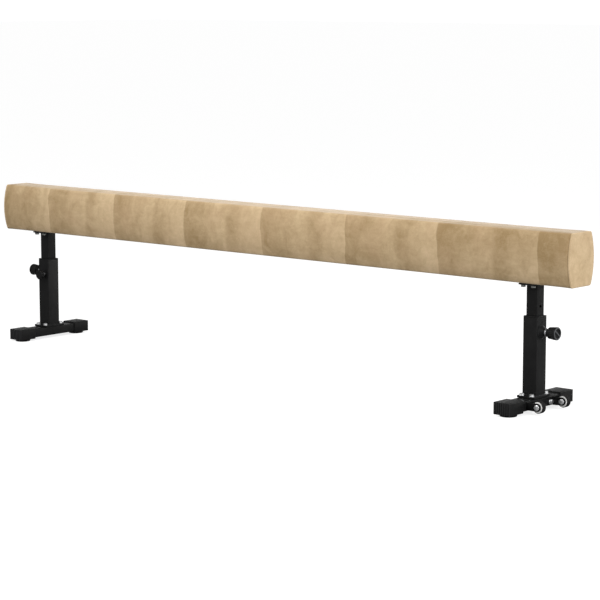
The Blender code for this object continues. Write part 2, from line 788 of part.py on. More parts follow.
def build_stand(side, meshes, stand, hanger):
    """One stand: the fixed pieces hang on its own frame, the inner post hangs on the beam."""
    stand_x = stand.location.x
    turn = stand.rotation_euler
    inner_place = (stand_x, 0.0, -BEAM_BOTTOM_Z)
    place(f"inner_post_{side}", meshes["inner_post"], hanger, inner_place, turn)
    place(f"glide_plug_{side}", meshes["glide_plug"], hanger, inner_place, turn)
    for number, (x, y) in enumerate(bolt_places(), start=1):
        seat = (stand_x + x, y, TOP_PLATE_Z - GAP - BEAM_BOTTOM_Z)
        place(f"beam_bolt_{side}_{number}", meshes["beam_bolt"], hanger, seat, UPSIDE_DOWN)
        seat = (x, y, BASE_PLATE_TOP_Z + GAP)
        place(f"base_bolt_{side}_{number}", meshes["base_bolt"], stand, seat)
    place(f"outer_post_{side}", meshes["outer_post"], stand)
    place(f"guide_bushing_{side}", meshes["guide_bushing"], stand)
    place(f"base_bar_{side}", base_bar_mesh(side == "right"), stand)
    cap_y = (BASE_LENGTH - CAP_LENGTH) / 2
    front = -1 if side == "right" else 1
    for name, end in (("front", front), ("rear", -front)):
        cap_turn = UPRIGHT if end < 0 else HALF_TURN
        cap_place = (0.0, end * cap_y, CAP_CENTRE_Z)
        place(f"end_cap_{side}_{name}", meshes["end_cap"], stand, cap_place, cap_turn)
        pad_place = (0.0, end * cap_y, 0.0)
        place(f"foot_pad_{side}_{name}", meshes["foot_pad"], stand, pad_place)
    pin_place = (0.0, 0.0, PIN_Z)
    for name in ("pin_barrel", "pin_plunger", "pin_spring", "pull_knob"):
        place(f"{name}_{side}", meshes[name], stand, pin_place, ALONG_X)
    clamp_place = (0.0, 0.0, CLAMP_Z)
    for name in ("clamp_nut", "clamp_knob"):
        place(f"{name}_{side}", meshes[name], stand, clamp_place, ALONG_Y)


def build():
    """The whole balance beam."""
    hanger = frame("beam_frame", (0.0, 0.0, BEAM_BOTTOM_Z))
    right = frame("right_stand_frame", (STAND_X, 0.0, 0.0))
    left = frame("left_stand_frame", (-STAND_X, 0.0, 0.0), HALF_TURN)
    build_beam(hanger)
    meshes = stand_meshes()
    build_stand("left", meshes, left, hanger)
    build_stand("right", meshes, right, hanger)
    build_wheels(right)


build()
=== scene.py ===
import math

import bmesh
import bpy
from mathutils import Matrix, Vector


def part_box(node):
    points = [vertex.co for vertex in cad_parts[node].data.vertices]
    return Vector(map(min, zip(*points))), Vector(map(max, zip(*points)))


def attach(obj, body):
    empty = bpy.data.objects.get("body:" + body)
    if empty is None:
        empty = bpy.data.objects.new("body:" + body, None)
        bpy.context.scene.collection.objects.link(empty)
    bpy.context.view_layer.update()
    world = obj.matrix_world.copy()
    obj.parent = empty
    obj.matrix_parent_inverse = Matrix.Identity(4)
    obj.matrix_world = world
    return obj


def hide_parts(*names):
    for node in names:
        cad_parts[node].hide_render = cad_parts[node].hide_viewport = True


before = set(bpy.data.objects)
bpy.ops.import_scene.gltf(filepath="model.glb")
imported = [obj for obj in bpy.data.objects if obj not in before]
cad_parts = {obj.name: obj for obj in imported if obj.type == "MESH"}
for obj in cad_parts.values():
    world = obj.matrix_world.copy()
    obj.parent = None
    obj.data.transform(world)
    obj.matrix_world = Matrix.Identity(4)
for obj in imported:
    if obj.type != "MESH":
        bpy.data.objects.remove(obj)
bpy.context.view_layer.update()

# Looks of the practice balance beam. Metres, +Z up, in the frame's own axes: +X runs along the
# beam to the stand with wheels. Each visible part is rebuilt finer in the place of its CAD node.

# Places and sizes read from the frame.
COVER_LOW, COVER_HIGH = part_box("suede_cover")
PANEL_LOW, PANEL_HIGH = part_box("end_panel_right")
BAR_LOW, BAR_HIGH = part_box("base_bar_right")
POST_LOW, POST_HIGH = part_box("outer_post_right")
INNER_LOW, INNER_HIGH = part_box("inner_post_right")
BUSHING_LOW, BUSHING_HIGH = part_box("guide_bushing_right")
CAP_LOW, CAP_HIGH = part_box("end_cap_right_front")
PAD_LOW, PAD_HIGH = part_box("foot_pad_right_front")
BARREL_LOW, BARREL_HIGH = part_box("pin_barrel_right")
KNOB_LOW, KNOB_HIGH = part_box("pull_knob_right")
CLAMP_LOW, CLAMP_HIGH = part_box("clamp_knob_right")
NUT_LOW, NUT_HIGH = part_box("clamp_nut_right")
TYRE_LOW, TYRE_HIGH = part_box("wheel_tyre_front")
STAND_X = (BAR_LOW.x + BAR_HIGH.x) / 2
BEAM_HEIGHT = COVER_HIGH.z - COVER_LOW.z
BEAM_MIDDLE_Z = (COVER_HIGH.z + COVER_LOW.z) / 2
BEAM_MIDDLE_WIDTH = COVER_HIGH.y - COVER_LOW.y
BAR_HEIGHT = BAR_HIGH.z - BAR_LOW.z
BAR_WIDTH = BAR_HIGH.x - BAR_LOW.x
BAR_MIDDLE_Z = (BAR_LOW.z + BAR_HIGH.z) / 2
PLATE_LENGTH = POST_HIGH.y - POST_LOW.y
PLATE_WIDTH = 2 * (STAND_X - POST_LOW.x)
OUTER_TUBE = BUSHING_HIGH.y - BUSHING_LOW.y
PIN_Z = (KNOB_LOW.z + KNOB_HIGH.z) / 2
CLAMP_Z = (CLAMP_LOW.z + CLAMP_HIGH.z) / 2
WHEEL_RADIUS = (TYRE_HIGH.x - TYRE_LOW.x) / 2
WHEEL_WIDTH = TYRE_HIGH.y - TYRE_LOW.y
WHEEL_X = (TYRE_LOW.x + TYRE_HIGH.x) / 2 - STAND_X
WHEEL_Y = -(TYRE_LOW.y + TYRE_HIGH.y) / 2
WHEEL_Z = (TYRE_LOW.z + TYRE_HIGH.z) / 2
WEB_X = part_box("wheel_bracket")[0].x - STAND_X

# Sizes that no box of the frame gives.
BEAM_TOP_WIDTH = 0.100
BEAM_CORNER_RADIUS = 0.009
COVER_THICKNESS = 0.0015
INNER_TUBE = 0.038
TUBE_WALL = 0.002
TUBE_CORNER_RADIUS = 0.0025
BASE_PLATE_THICKNESS = 0.0064
TOP_PLATE_THICKNESS = 0.004
PLATE_CORNER_RADIUS = 0.004
BOLT_X = 0.018
BOLT_Y = 0.036
HOLE_PITCH = 0.076
PIN_HOLE_RADIUS = 0.005
SNAP_STUD_Z = 0.2652
SNAP_STUD_RADIUS = 0.004
HUB_RADIUS = 0.0162
LUG_RADIUS = 0.012
LUG_THICKNESS = 0.003
LUG_CLEARANCE = 0.0005
BRACKET_BOLT_Y = 0.043
BRACKET_BOLT_Z = 0.022
CAP_WALL = 0.0032
CAP_GROOVES = 7
CAP_GROOVE_RADIUS = 0.0021
CAP_GROOVE_MARGIN = 0.0080
KNOB_RECESS = 0.0022
M8_RADIUS = 0.004
M8_HOLE_RADIUS = 0.0045
M8_FLAT = 0.013
M8_HEAD_HEIGHT = 0.0053
M8_FLANGE_RADIUS = 0.0080
M8_FLANGE_HEIGHT = 0.0015
M8_NUT_HEIGHT = 0.0065
BEAM_BOLT_LENGTH = 0.034
BASE_BOLT_LENGTH = 0.014
AXLE_BOLT_LENGTH = 0.034
BRACKET_BOLT_LENGTH = 0.012
GAP = 0.0003
WELD_OVERLAP = 0.001
WELD_RIPPLE = 0.18
WELD_PITCH = 0.0022
WELD_POINT_STEP = 0.0009

# Fineness: points round a turned piece, round a small hole, and along a rounded corner.
TURNED_STEPS = 64
HOLE_STEPS = 32
CORNER_STEPS = 8
EDGE_STEPS = 3
SAME_POINT = 1e-7
SHARP_ANGLE = math.radians(32)

# Turning a piece's own +Z: along world +X, along world +Y, and along world -Y.
ALONG_X = Matrix(((0, 0, 1), (1, 0, 0), (0, 1, 0))).to_4x4()
ALONG_Y = Matrix.Rotation(-math.pi / 2, 4, "X")
ALONG_MINUS_Y = Matrix.Rotation(math.pi / 2, 4, "X")
UPSIDE_DOWN = Matrix.Rotation(math.pi, 4, "X")
HALF_ROUND = Matrix.Rotation(math.pi, 4, "Z")
UPRIGHT = Matrix.Identity(4)

# Each stand's own frame: on the floor under its post, the left one turned half round.
STANDS = {
    "right": Matrix.Translation((STAND_X, 0, 0)),
    "left": Matrix.Translation((-STAND_X, 0, 0)) @ HALF_ROUND,
}


# Node materials

# The range that most of a Noise texture's values lie in.
NOISE_LOW = 0.3
NOISE_HIGH = 0.7


def new_material(name):
    """A material, its node tree and its Principled shader."""
    made = bpy.data.materials.new(name)
    made.use_nodes = True
    return made, made.node_tree, made.node_tree.nodes["Principled BSDF"]


def feed(tree, socket, value):
    """Links or sets one input."""
    if isinstance(value, bpy.types.NodeSocket):
        tree.links.new(value, socket)
    else:
        socket.default_value = value


def fill(tree, made, **inputs):
    """Feeds a node's inputs, which are named with underscores for spaces."""
    for key, value in inputs.items():
        feed(tree, made.inputs[key.replace("_", " ")], value)


def node(tree, kind, settings=None, **inputs):
    """A shader node with its settings and inputs."""
    made = tree.nodes.new("ShaderNode" + kind)
    for key, value in (settings or {}).items():
        setattr(made, key, value)
    fill(tree, made, **inputs)
    return made


def pair(tree, kind, settings, first, second):
    """A node that works on two values, given to its first two inputs."""
    made = node(tree, kind, settings)
    feed(tree, made.inputs[0], first)
    feed(tree, made.inputs[1], second)
    return made


def maths(tree, operation, first, second=0.0):
    """A Math node's result."""
    return pair(tree, "Math", {"operation": operation}, first, second).outputs[0]


def dot(tree, first, second):
    """The dot product of two vectors."""
    return pair(tree, "VectorMath", {"operation": "DOT_PRODUCT"}, first, second).outputs["Value"]


def noise(tree, vector, scale, detail=2.0, roughness=0.5, distortion=0.0):
    """A Noise texture's value, from 0 to 1."""
    made = node(tree, "TexNoise", None, Vector=vector, Scale=scale, Detail=detail,
                Roughness=roughness, Distortion=distortion)
    return made.outputs["Fac"]


def stretched(tree, vector, scale):
    """A coordinate scaled by a different amount along each axis."""
    return node(tree, "Mapping", None, Vector=vector, Scale=scale).outputs["Vector"]


def spread(tree, value, low, high, to_low, to_high):
    """A value's range mapped to another range, clamped."""
    made = node(tree, "MapRange", None, Value=value, From_Min=low, From_Max=high,
                To_Min=to_low, To_Max=to_high)
    return made.outputs["Result"]


def swung(tree, value, low, high):
    """A noise mapped to a range."""
    return spread(tree, value, NOISE_LOW, NOISE_HIGH, low, high)


def ramp(tree, value, stops):
    """A Color Ramp of (place, colour) stops; a colour may be a single grey value."""
    made = node(tree, "ValToRGB", None, Fac=value)
    elements = made.color_ramp.elements
    while len(elements) < len(stops):
        elements.new(0.5)
    for element, (place, colour) in zip(elements, stops):
        element.position = place
        element.color = (colour,) * 3 + (1.0,) if isinstance(colour, float) else (*colour, 1.0)
    return made.outputs["Color"]


def mixed(tree, factor, first, second):
    """A mix of two colours."""
    made = node(tree, "Mix", {"data_type": "RGBA"}, Factor=factor)
    feed(tree, made.inputs[6], first)
    feed(tree, made.inputs[7], second)
    return made.outputs[2]


def bump(tree, shader, *layers):
    """Stacked bump layers of (height socket, strength, depth in metres)."""
    normal = None
    for height, strength, depth in layers:
        made = node(tree, "Bump", None, Strength=strength, Distance=depth, Height=height)
        if normal is not None:
            fill(tree, made, Normal=normal)
        normal = made.outputs["Normal"]
    fill(tree, shader, Normal=normal)


def object_place(tree):
    """Object coordinates, in metres."""
    return node(tree, "TexCoord").outputs["Object"]


def seen_by_camera(tree):
    """1 for what the camera sees directly, 0 for what lights or is mirrored."""
    return node(tree, "LightPath").outputs["Is Camera Ray"]


# Suede. The nap lies in brushed bands along the beam: each band starts dark at a sharp edge, gets
# lighter, dips in a soft stripe and ends light. Bands get slightly longer towards +X. On the top,
# where feet tread, the bands are nearly evened out.
# Painted shade is taken off the bands: low on the sides, at the -X end and high up near +X.
SUEDE_DARK = (0.305, 0.208, 0.100)
SUEDE_LIGHT = (0.590, 0.443, 0.272)
SUEDE_WARM = (0.52, 0.36, 0.22, 1.0)
BAND_START = -1.3015
BAND_PITCH = 0.3185
BAND_GROWTH = 0.0085
BAND_BOW = 0.005
BAND_WOBBLE = 0.007
TOP_SHADE = 0.46
TOP_DEPTH = 0.004
# The end panels' suede is paler than the bands on average: painted light for the lit end faces.
LIT_PANEL_SHADE = 0.68
BAND_SHADES = (
    (0.00, 0.30), (0.08, 0.24), (0.24, 0.38), (0.44, 0.58), (0.54, 0.62),
    (0.60, 0.36), (0.68, 0.42), (0.75, 0.62), (0.93, 0.76), (0.992, 0.82), (1.00, 0.30),
)


def band_phase(tree, place, x, height):
    """Where a point lies in its nap band, from 0 at the band's sharp edge to 1 at the next."""
    share = maths(tree, "DIVIDE", height, BEAM_HEIGHT / 2)
    bow = maths(tree, "MULTIPLY", maths(tree, "MULTIPLY", share, share), BAND_BOW)
    drift = noise(tree, place, 7.0, 4.0)
    wobble = swung(tree, drift, -BAND_WOBBLE - BAND_BOW, BAND_WOBBLE - BAND_BOW)
    along = maths(tree, "ADD", x, maths(tree, "ADD", bow, wobble))
    half_growth = BAND_GROWTH / 2
    first = BAND_PITCH - half_growth
    reach = maths(tree, "SUBTRACT", along, BAND_START)
    inside = maths(tree, "ADD", maths(tree, "MULTIPLY", reach, 4 * half_growth), first**2)
    root = maths(tree, "SQRT", inside)
    count = maths(tree, "DIVIDE", maths(tree, "SUBTRACT", root, first), 2 * half_growth)
    return maths(tree, "FRACT", count)


def painted_nap_shade(tree, x, height, blotch):
    """Painted shade on the suede: darker low on the sides, at the -X end, and high up near +X."""
    ragged = maths(tree, "ADD", height, swung(tree, blotch, -0.022, 0.022))
    low = spread(tree, ragged, -0.062, -0.030, 0.05, 0.0)
    high = spread(tree, ragged, -0.020, 0.050, 0.0, 1.0)
    right = spread(tree, x, 0.25, 1.05, 0.0, 0.34)
    left = spread(tree, x, -1.20, -0.95, 0.26, 0.0)
    painted_dip = maths(tree, "ADD", low, maths(tree, "MULTIPLY", high, right))
    return maths(tree, "ADD", painted_dip, left)


def band_shade(tree, place, blotch):
    """The bands' shade, evened out on the top, less the painted shade."""
    parts = node(tree, "SeparateXYZ", None, Vector=place).outputs
    height = maths(tree, "SUBTRACT", parts["Z"], BEAM_MIDDLE_Z)
    band = ramp(tree, band_phase(tree, place, parts["X"], height), BAND_SHADES)
    trodden = spread(tree, parts["Z"], COVER_HIGH.z - TOP_DEPTH, COVER_HIGH.z, 0.0, 0.75)
    evened = maths(tree, "MULTIPLY", trodden, maths(tree, "SUBTRACT", TOP_SHADE, band))
    shade = maths(tree, "ADD", band, evened)
    return maths(tree, "SUBTRACT", shade, painted_nap_shade(tree, parts["X"], height, blotch))


def suede(name, in_bands):
    """Tan suede: marbled nap, brushed bands, fibres and a pale sheen at grazing angles."""
    made, tree, shader = new_material(name)
    place = object_place(tree)
    blotch = noise(tree, stretched(tree, place, (1.0, 1.0, 0.7)), 19.0, 5.0, 0.62, 0.8)
    vein = noise(tree, place, 46.0, 6.0, 0.72, 1.4)
    cloud = noise(tree, place, 5.0, 2.0)
    streak = noise(tree, stretched(tree, place, (0.3, 1.0, 1.0)), 60.0, 4.0, 0.65, 0.6)
    fibre = noise(tree, stretched(tree, place, (0.7, 1.0, 1.0)), 420.0, 3.0, 0.6)
    shade = band_shade(tree, place, blotch) if in_bands else LIT_PANEL_SHADE
    for layer, depth in ((blotch, 0.20), (vein, 0.14), (streak, 0.09), (cloud, 0.06), (fibre, 0.06)):
        shade = maths(tree, "ADD", shade, swung(tree, layer, -depth, depth))
    warm = spread(tree, noise(tree, place, 11.0, 2.0), 0.45, 0.70, 0.0, 0.22)
    colour = ramp(tree, shade, ((0.0, SUEDE_DARK), (1.0, SUEDE_LIGHT)))
    fill(tree, shader, Base_Color=mixed(tree, warm, colour, SUEDE_WARM),
         Roughness=swung(tree, fibre, 0.86, 0.98), Specular_IOR_Level=0.12,
         Sheen_Weight=0.40, Sheen_Roughness=0.40, Sheen_Tint=(1.0, 0.96, 0.92, 1.0))
    bump(tree, shader, (blotch, 0.35, 0.0015), (vein, 0.30, 0.0007), (fibre, 0.5, 0.0006))
    return made


def edge_highlight_mask(tree, radius):
    """A mask that is bright on convex edges, broken up by fine noise, for painted edge highlights."""
    bevel = node(tree, "Bevel", {"samples": 4}, Radius=radius)
    turn = dot(tree, bevel.outputs["Normal"], node(tree, "NewGeometry").outputs["Normal"])
    rim = spread(tree, turn, 0.80, 0.99, 0.75, 0.0)
    broken = spread(tree, noise(tree, object_place(tree), 160.0, 3.0), 0.35, 0.65, 0.25, 1.0)
    return maths(tree, "MULTIPLY", rim, broken)


def clouded(tree, shader, cloud, stops, roughness, specular=0.5, edge_highlight=None):
    """Colour and roughness that follow one soft noise, which is returned.

    A painted highlight on the edges is given as (edge radius, paler colour).
    """
    drift = noise(tree, object_place(tree), *cloud)
    colour = ramp(tree, drift, stops)
    if edge_highlight:
        radius, pale = edge_highlight
        colour = mixed(tree, edge_highlight_mask(tree, radius), colour, pale)
    fill(tree, shader, Base_Color=colour, Roughness=swung(tree, drift, *roughness),
         Specular_IOR_Level=specular)
    return drift


def powder_coat():
    """Satin black powder coat: fine orange peel, slight sheen changes and a painted highlight on its
    edges.
    """
    made, tree, shader = new_material("satin_black_powder_coat")
    stops = ((0.3, (0.0039, 0.0040, 0.0042)), (0.7, (0.0066, 0.0067, 0.0069)))
    edge_highlight = (0.0012, (0.040, 0.041, 0.042, 1.0))
    clouded(tree, shader, (24.0, 3.0), stops, (0.36, 0.48), 0.16, edge_highlight)
    bump(tree, shader, (noise(tree, object_place(tree), 900.0, 2.0), 0.25, 0.0003))
    return made


def black_plastic(name, highlight_band=None):
    """Moulded black plastic with a fine grained surface and a painted highlight on its edges.

    Where a painted highlight lightens it is given as (own axis, two places on it, share at each, colour).
    """
    made, tree, shader = new_material(name)
    place = object_place(tree)
    stops = ((0.3, (0.0045, 0.0046, 0.0047)), (0.7, (0.0075, 0.0076, 0.0077)))
    edge_highlight = (0.0010, (0.034, 0.034, 0.035, 1.0))
    clouded(tree, shader, (60.0, 3.0), stops, (0.42, 0.56), 0.14, edge_highlight)
    grain = node(tree, "TexVoronoi", {"feature": "SMOOTH_F1"}, Vector=place, Scale=900.0)
    bump(tree, shader, (grain.outputs["Distance"], 0.3, 0.0004))
    if highlight_band:
        axis, *ranges, pale = highlight_band
        along = node(tree, "SeparateXYZ", None, Vector=place).outputs[axis]
        under = shader.inputs["Base Color"].links[0].from_socket
        fill(tree, shader, Base_Color=mixed(tree, spread(tree, along, *ranges), under, pale))
    return made


def knob_plastic():
    """The pull knob's plastic: its rim and the bar on its end face carry a painted highlight."""
    face = KNOB_HIGH.x - STAND_X - KNOB_RECESS
    highlight_band = ("Z", face + 0.0006, face + 0.0018, 0.0, 0.85, (0.085, 0.088, 0.092, 1.0))
    return black_plastic("pull_knob_plastic", highlight_band)


def cap_plastic():
    """The end caps' plastic: the crests of the ribs on the end face carry a painted highlight."""
    face = -(CAP_HIGH.y - CAP_LOW.y) / 2
    highlight_band = ("Y", face + 0.0002, face + 0.0012, 0.8, 0.0, (0.022, 0.022, 0.023, 1.0))
    return black_plastic("end_cap_plastic", highlight_band)


def white_nylon():
    """Moulded white nylon, slightly grey with road dirt in soft clouds."""
    made, tree, shader = new_material("white_nylon")
    stops = ((0.3, (0.82, 0.82, 0.81)), (0.65, (0.92, 0.92, 0.91)))
    drift = clouded(tree, shader, (120.0, 4.0, 0.6), stops, (0.35, 0.5))
    fill(tree, shader, Subsurface_Weight=0.08, Subsurface_Radius=(0.002, 0.002, 0.002))
    bump(tree, shader, (drift, 0.2, 0.0003))
    return made


def black_rubber():
    """Matte black rubber with a dusty bloom."""
    made, tree, shader = new_material("matte_black_rubber")
    stops = ((0.35, (0.0060, 0.0060, 0.0062)), (0.75, (0.0130, 0.0128, 0.0125)))
    clouded(tree, shader, (85.0, 4.0, 0.6), stops, (0.62, 0.80), 0.12)
    bump(tree, shader, (noise(tree, object_place(tree), 1100.0, 2.0), 0.3, 0.0003))
    return made


def plated_steel(name, colour, roughness, lengthwise=0.15):
    """Plated or bare steel: a metal with fine turning marks and cloudy reflections."""
    made, tree, shader = new_material(name)
    darker = tuple(channel * 0.72 for channel in colour)
    clouded(tree, shader, (130.0, 3.0), ((0.25, darker), (0.70, colour)), roughness)
    fill(tree, shader, Metallic=1.0)
    place = stretched(tree, object_place(tree), (1.0, 1.0, lengthwise))
    bump(tree, shader, (noise(tree, place, 800.0, 2.0), 0.2, 0.0002))
    return made


def padding_foam():
    """Closed-cell foam: pale, with small pores."""
    made, tree, shader = new_material("closed_cell_foam")
    cells = node(tree, "TexVoronoi", {"feature": "F1"}, Vector=object_place(tree), Scale=650.0)
    pores = cells.outputs["Distance"]
    colour = ramp(tree, pores, ((0.0, (0.52, 0.49, 0.40)), (0.4, (0.80, 0.77, 0.67))))
    fill(tree, shader, Base_Color=colour, Roughness=0.9)
    bump(tree, shader, (pores, 0.6, 0.0008))
    return made


def laminated_wood():
    """Laminated softwood: layers glued side by side, with grain along them."""
    made, tree, shader = new_material("laminated_wood")
    place = object_place(tree)
    grain = noise(tree, stretched(tree, place, (1.2, 14.0, 14.0)), 9.0, 5.0, 0.6, 1.2)
    layers = node(tree, "TexWave", {"bands_direction": "Y"}, Vector=place, Scale=8.0, Distortion=0.15)
    colour = ramp(tree, grain, ((0.25, (0.42, 0.27, 0.13)), (0.75, (0.68, 0.50, 0.30))))
    glue = spread(tree, layers.outputs["Fac"], 0.0, 0.06, 0.55, 0.0)
    fill(tree, shader, Base_Color=mixed(tree, glue, colour, (0.22, 0.13, 0.06, 1.0)),
         Roughness=swung(tree, grain, 0.5, 0.7))
    bump(tree, shader, (grain, 0.3, 0.0005))
    return made


def sewing_thread():
    """Twisted tan thread."""
    made, tree, shader = new_material("tan_thread")
    place = object_place(tree)
    wave = node(tree, "TexWave", {"bands_direction": "DIAGONAL"}, Vector=place, Scale=420.0)
    twist = wave.outputs["Fac"]
    colour = ramp(tree, twist, ((0.0, (0.42, 0.31, 0.19)), (1.0, (0.66, 0.52, 0.36))))
    fill(tree, shader, Base_Color=colour, Roughness=0.8, Sheen_Weight=0.3)
    bump(tree, shader, (twist, 0.5, 0.0002))
    return made


# Each look is a material and the record's material slot that it belongs to.
COVER_SUEDE = (suede("tan_suede_brushed_in_bands", True), "suede")
PANEL_SUEDE = (suede("tan_suede_plain", False), "suede")
THREAD = (sewing_thread(), "suede")
COAT = (powder_coat(), "powder_coat")
PLASTIC = (black_plastic("moulded_black_plastic"), "black_plastic")
KNOB_PLASTIC = (knob_plastic(), "black_plastic")
CAP_PLASTIC = (cap_plastic(), "black_plastic")
NYLON = (white_nylon(), "white_nylon")
RUBBER = (black_rubber(), "black_rubber")
ZINC = (plated_steel("bright_zinc_plate", (0.88, 0.89, 0.90), (0.32, 0.48)), "zinc_steel")
# The beam's bolts get a darker copy of the zinc: painted shade for their place in the beam's shadow.
SHADED_ZINC = (plated_steel("zinc_darkened_for_shade", (0.20, 0.205, 0.20), (0.40, 0.55)), "zinc_steel")
GREY_STEEL = (plated_steel("dull_plated_steel", (0.50, 0.51, 0.53), (0.24, 0.34)), "zinc_steel")


# Mesh helpers


def link(name, data):
    """A new object in the scene."""
    made = bpy.data.objects.new(name, data)
    bpy.context.scene.collection.objects.link(made)
    return made


def at(x, y, z, turn=UPRIGHT):
    """A place and a turn in one matrix."""
    return Matrix.Translation((x, y, z)) @ turn


def written(shape, mesh):
    """The mesh with a BMesh written to it; the BMesh is freed."""
    shape.to_mesh(mesh)
    shape.free()
    return mesh


def baked(maker):
    """The evaluated mesh of a temporary object, welded and facing out; the object is removed."""
    bpy.context.view_layer.update()
    graph = bpy.context.evaluated_depsgraph_get()
    mesh = bpy.data.meshes.new_from_object(maker.evaluated_get(graph), depsgraph=graph)
    mesh.transform(maker.matrix_world)
    shape = bmesh.new()
    shape.from_mesh(mesh)
    bmesh.ops.remove_doubles(shape, verts=shape.verts, dist=SAME_POINT)
    bmesh.ops.recalc_face_normals(shape, faces=shape.faces)
    bpy.data.objects.remove(maker)
    return written(shape, mesh)


def circle(radius, centre=(0.0, 0.0), steps=HOLE_STEPS):
    """Outline of a circle."""
    angles = [2 * math.pi * step / steps for step in range(steps)]
    return [(centre[0] + radius * math.cos(a), centre[1] + radius * math.sin(a)) for a in angles]


def hexagon(across_flats):
    """Outline of a hexagon."""
    return circle(across_flats / math.sqrt(3), steps=6)


def rounded_rectangle(width, height, radius):
    """Outline of a rectangle with round corners, centred on the origin."""
    points = []
    for quarter in range(4):
        sign_x = 1 if quarter in (0, 3) else -1
        sign_y = 1 if quarter in (0, 1) else -1
        for step in range(CORNER_STEPS + 1):
            angle = math.pi / 2 * (quarter + step / CORNER_STEPS)
            x = sign_x * (width / 2 - radius) + radius * math.cos(angle)
            y = sign_y * (height / 2 - radius) + radius * math.sin(angle)
            points.append((x, y))
    return points


def square(width):
    """Outline of a square tube."""
    return rounded_rectangle(width, width, TUBE_CORNER_RADIUS)


def bore_of(width):
    """Outline of a square tube's bore."""
    bore = width - 2 * TUBE_WALL
    return rounded_rectangle(bore, bore, TUBE_CORNER_RADIUS - TUBE_WALL + 0.0002)


def prism(outlines, bottom, top, edge, place=UPRIGHT):
    """Outlines filled and extruded along the piece's own Z, with rounded edges; inner ones are holes."""
    curve = bpy.data.curves.new("outline", "CURVE")
    curve.dimensions = "2D"
    curve.fill_mode = "BOTH"
    curve.extrude = (top - bottom) / 2 - edge
    curve.bevel_depth = edge
    curve.offset = -edge
    curve.bevel_resolution = EDGE_STEPS - 1
    for outline in outlines:
        spline = curve.splines.new("POLY")
        spline.points.add(len(outline) - 1)
        for point, (x, y) in zip(spline.points, outline):
            point.co = (x, y, 0.0, 1.0)
        spline.use_cyclic_u = True
    maker = link("outline", curve)
    maker.matrix_world = place @ at(0.0, 0.0, (top + bottom) / 2)
    return baked(maker)


def softened(profile, radius, hollow):
    """A profile of (radius, height) points with each of its corners off the axis rounded."""
    count = len(profile)
    points = []
    for index, (x, z) in enumerate(profile):
        if index in (0, count - 1) and not hollow:
            points.append((x, z))
            continue
        corner = Vector((x, z))
        back = Vector(profile[index - 1]) - corner
        ahead = Vector(profile[(index + 1) % count]) - corner
        reach = min(radius, back.length * 0.45, ahead.length * 0.45)
        start = corner + back.normalized() * reach
        end = corner + ahead.normalized() * reach
        for step in range(EDGE_STEPS + 1):
            share = step / EDGE_STEPS
            bent = start.lerp(corner, share).lerp(corner.lerp(end, share), share)
            points.append((bent.x, bent.y))
    return points


def turned(profile, edge, hollow=False, place=UPRIGHT, steps=TURNED_STEPS):
    """A profile of (radius, height) points, listed down its outer side, turned about Z."""
    points = softened(profile, edge, hollow)
    edges = [(i, i + 1) for i in range(len(points) - 1)]
    if hollow:
        edges.append((len(points) - 1, 0))
    mesh = bpy.data.meshes.new("profile")
    mesh.from_pydata([(radius, 0.0, height) for radius, height in points], edges, [])
    maker = link("profile", mesh)
    screw = maker.modifiers.new("turn", "SCREW")
    screw.steps = steps
    screw.render_steps = steps
    screw.use_merge_vertices = True
    screw.merge_threshold = 1e-6
    maker.matrix_world = place
    return baked(maker)


def two_sided(profile, edge):
    """A hollow piece turned from one half of its profile and the mirror image of that half."""
    mirrored = [(radius, -height) for radius, height in reversed(profile)]
    return turned(profile + mirrored, edge, True)


def rods(radius, length, centres, turn=UPRIGHT):
    """Cylinders along the turned Z axis, all in one mesh, used to cut round holes."""
    shape = bmesh.new()
    for centre in centres:
        bmesh.ops.create_cone(shape, cap_ends=True, segments=HOLE_STEPS, radius1=radius,
                              radius2=radius, depth=length, matrix=at(*centre, turn))
    return written(shape, bpy.data.meshes.new("rods"))


def combined(base, others, operation):
    """The base mesh joined with, cut by, or limited to the other meshes in turn."""
    body = link("body", base)
    tools = []
    for other in others:
        tool = link("tool", other)
        step = body.modifiers.new("boolean", "BOOLEAN")
        step.operation = operation
        step.object = tool
        tools.append(tool)
    mesh = baked(body)
    for tool in tools:
        bpy.data.objects.remove(tool)
    return mesh


def weld_bead(path, radius):
    """A welding bead along a closed path of points, with the ripples that a moving torch leaves."""
    points = [Vector(point) for point in path]
    lengths = [(points[(i + 1) % len(points)] - points[i]).length for i in range(len(points))]
    total = sum(lengths)
    count = max(24, int(total / WELD_POINT_STEP))
    waves = round(total / WELD_PITCH)
    curve = bpy.data.curves.new("bead", "CURVE")
    curve.dimensions = "3D"
    curve.bevel_depth = radius
    curve.bevel_resolution = 2
    spline = curve.splines.new("POLY")
    spline.points.add(count - 1)
    spline.use_cyclic_u = True
    segment, walked = 0, 0.0
    for index, point in enumerate(spline.points):
        target = total * index / count
        while walked + lengths[segment] < target:
            walked += lengths[segment]
            segment += 1
        start = points[segment]
        end = points[(segment + 1) % len(points)]
        place = start.lerp(end, (target - walked) / lengths[segment])
        point.co = (*place, 1.0)
        point.radius = 1.0 + WELD_RIPPLE * math.cos(2 * math.pi * waves * index / count)
    return baked(link("bead", curve))


def merged(*meshes):
    """Several closed shells as one mesh."""
    shape = bmesh.new()
    for mesh in meshes:
        shape.from_mesh(mesh)
    return written(shape, bpy.data.meshes.new("merged"))


def bridge(shape, first, second):
    """A band of four-sided faces between two loops of points."""
    for step in range(len(first)):
        ahead = (step + 1) % len(first)
        shape.faces.new((first[step], first[ahead], second[ahead], second[step]))


def piece(name, stands_for, mesh, look, body, place=UPRIGHT):
    """One visible piece in its place, riding on its body and standing for its CAD node, if any.

    Pieces may share a mesh, which gets its material, smooth faces and sharp edges only once.
    """
    material, slot = look
    if not mesh.materials:
        mesh.materials.append(material)
        mesh.shade_smooth()
        mesh.set_sharp_from_angle(angle=SHARP_ANGLE)
    made = link(name, mesh)
    made.matrix_world = place
    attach(made, body)
    if stands_for:
        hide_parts(stands_for)


# Beam cover. Its outer skin is a grid of rings along the beam, swelled by a cloth simulation.

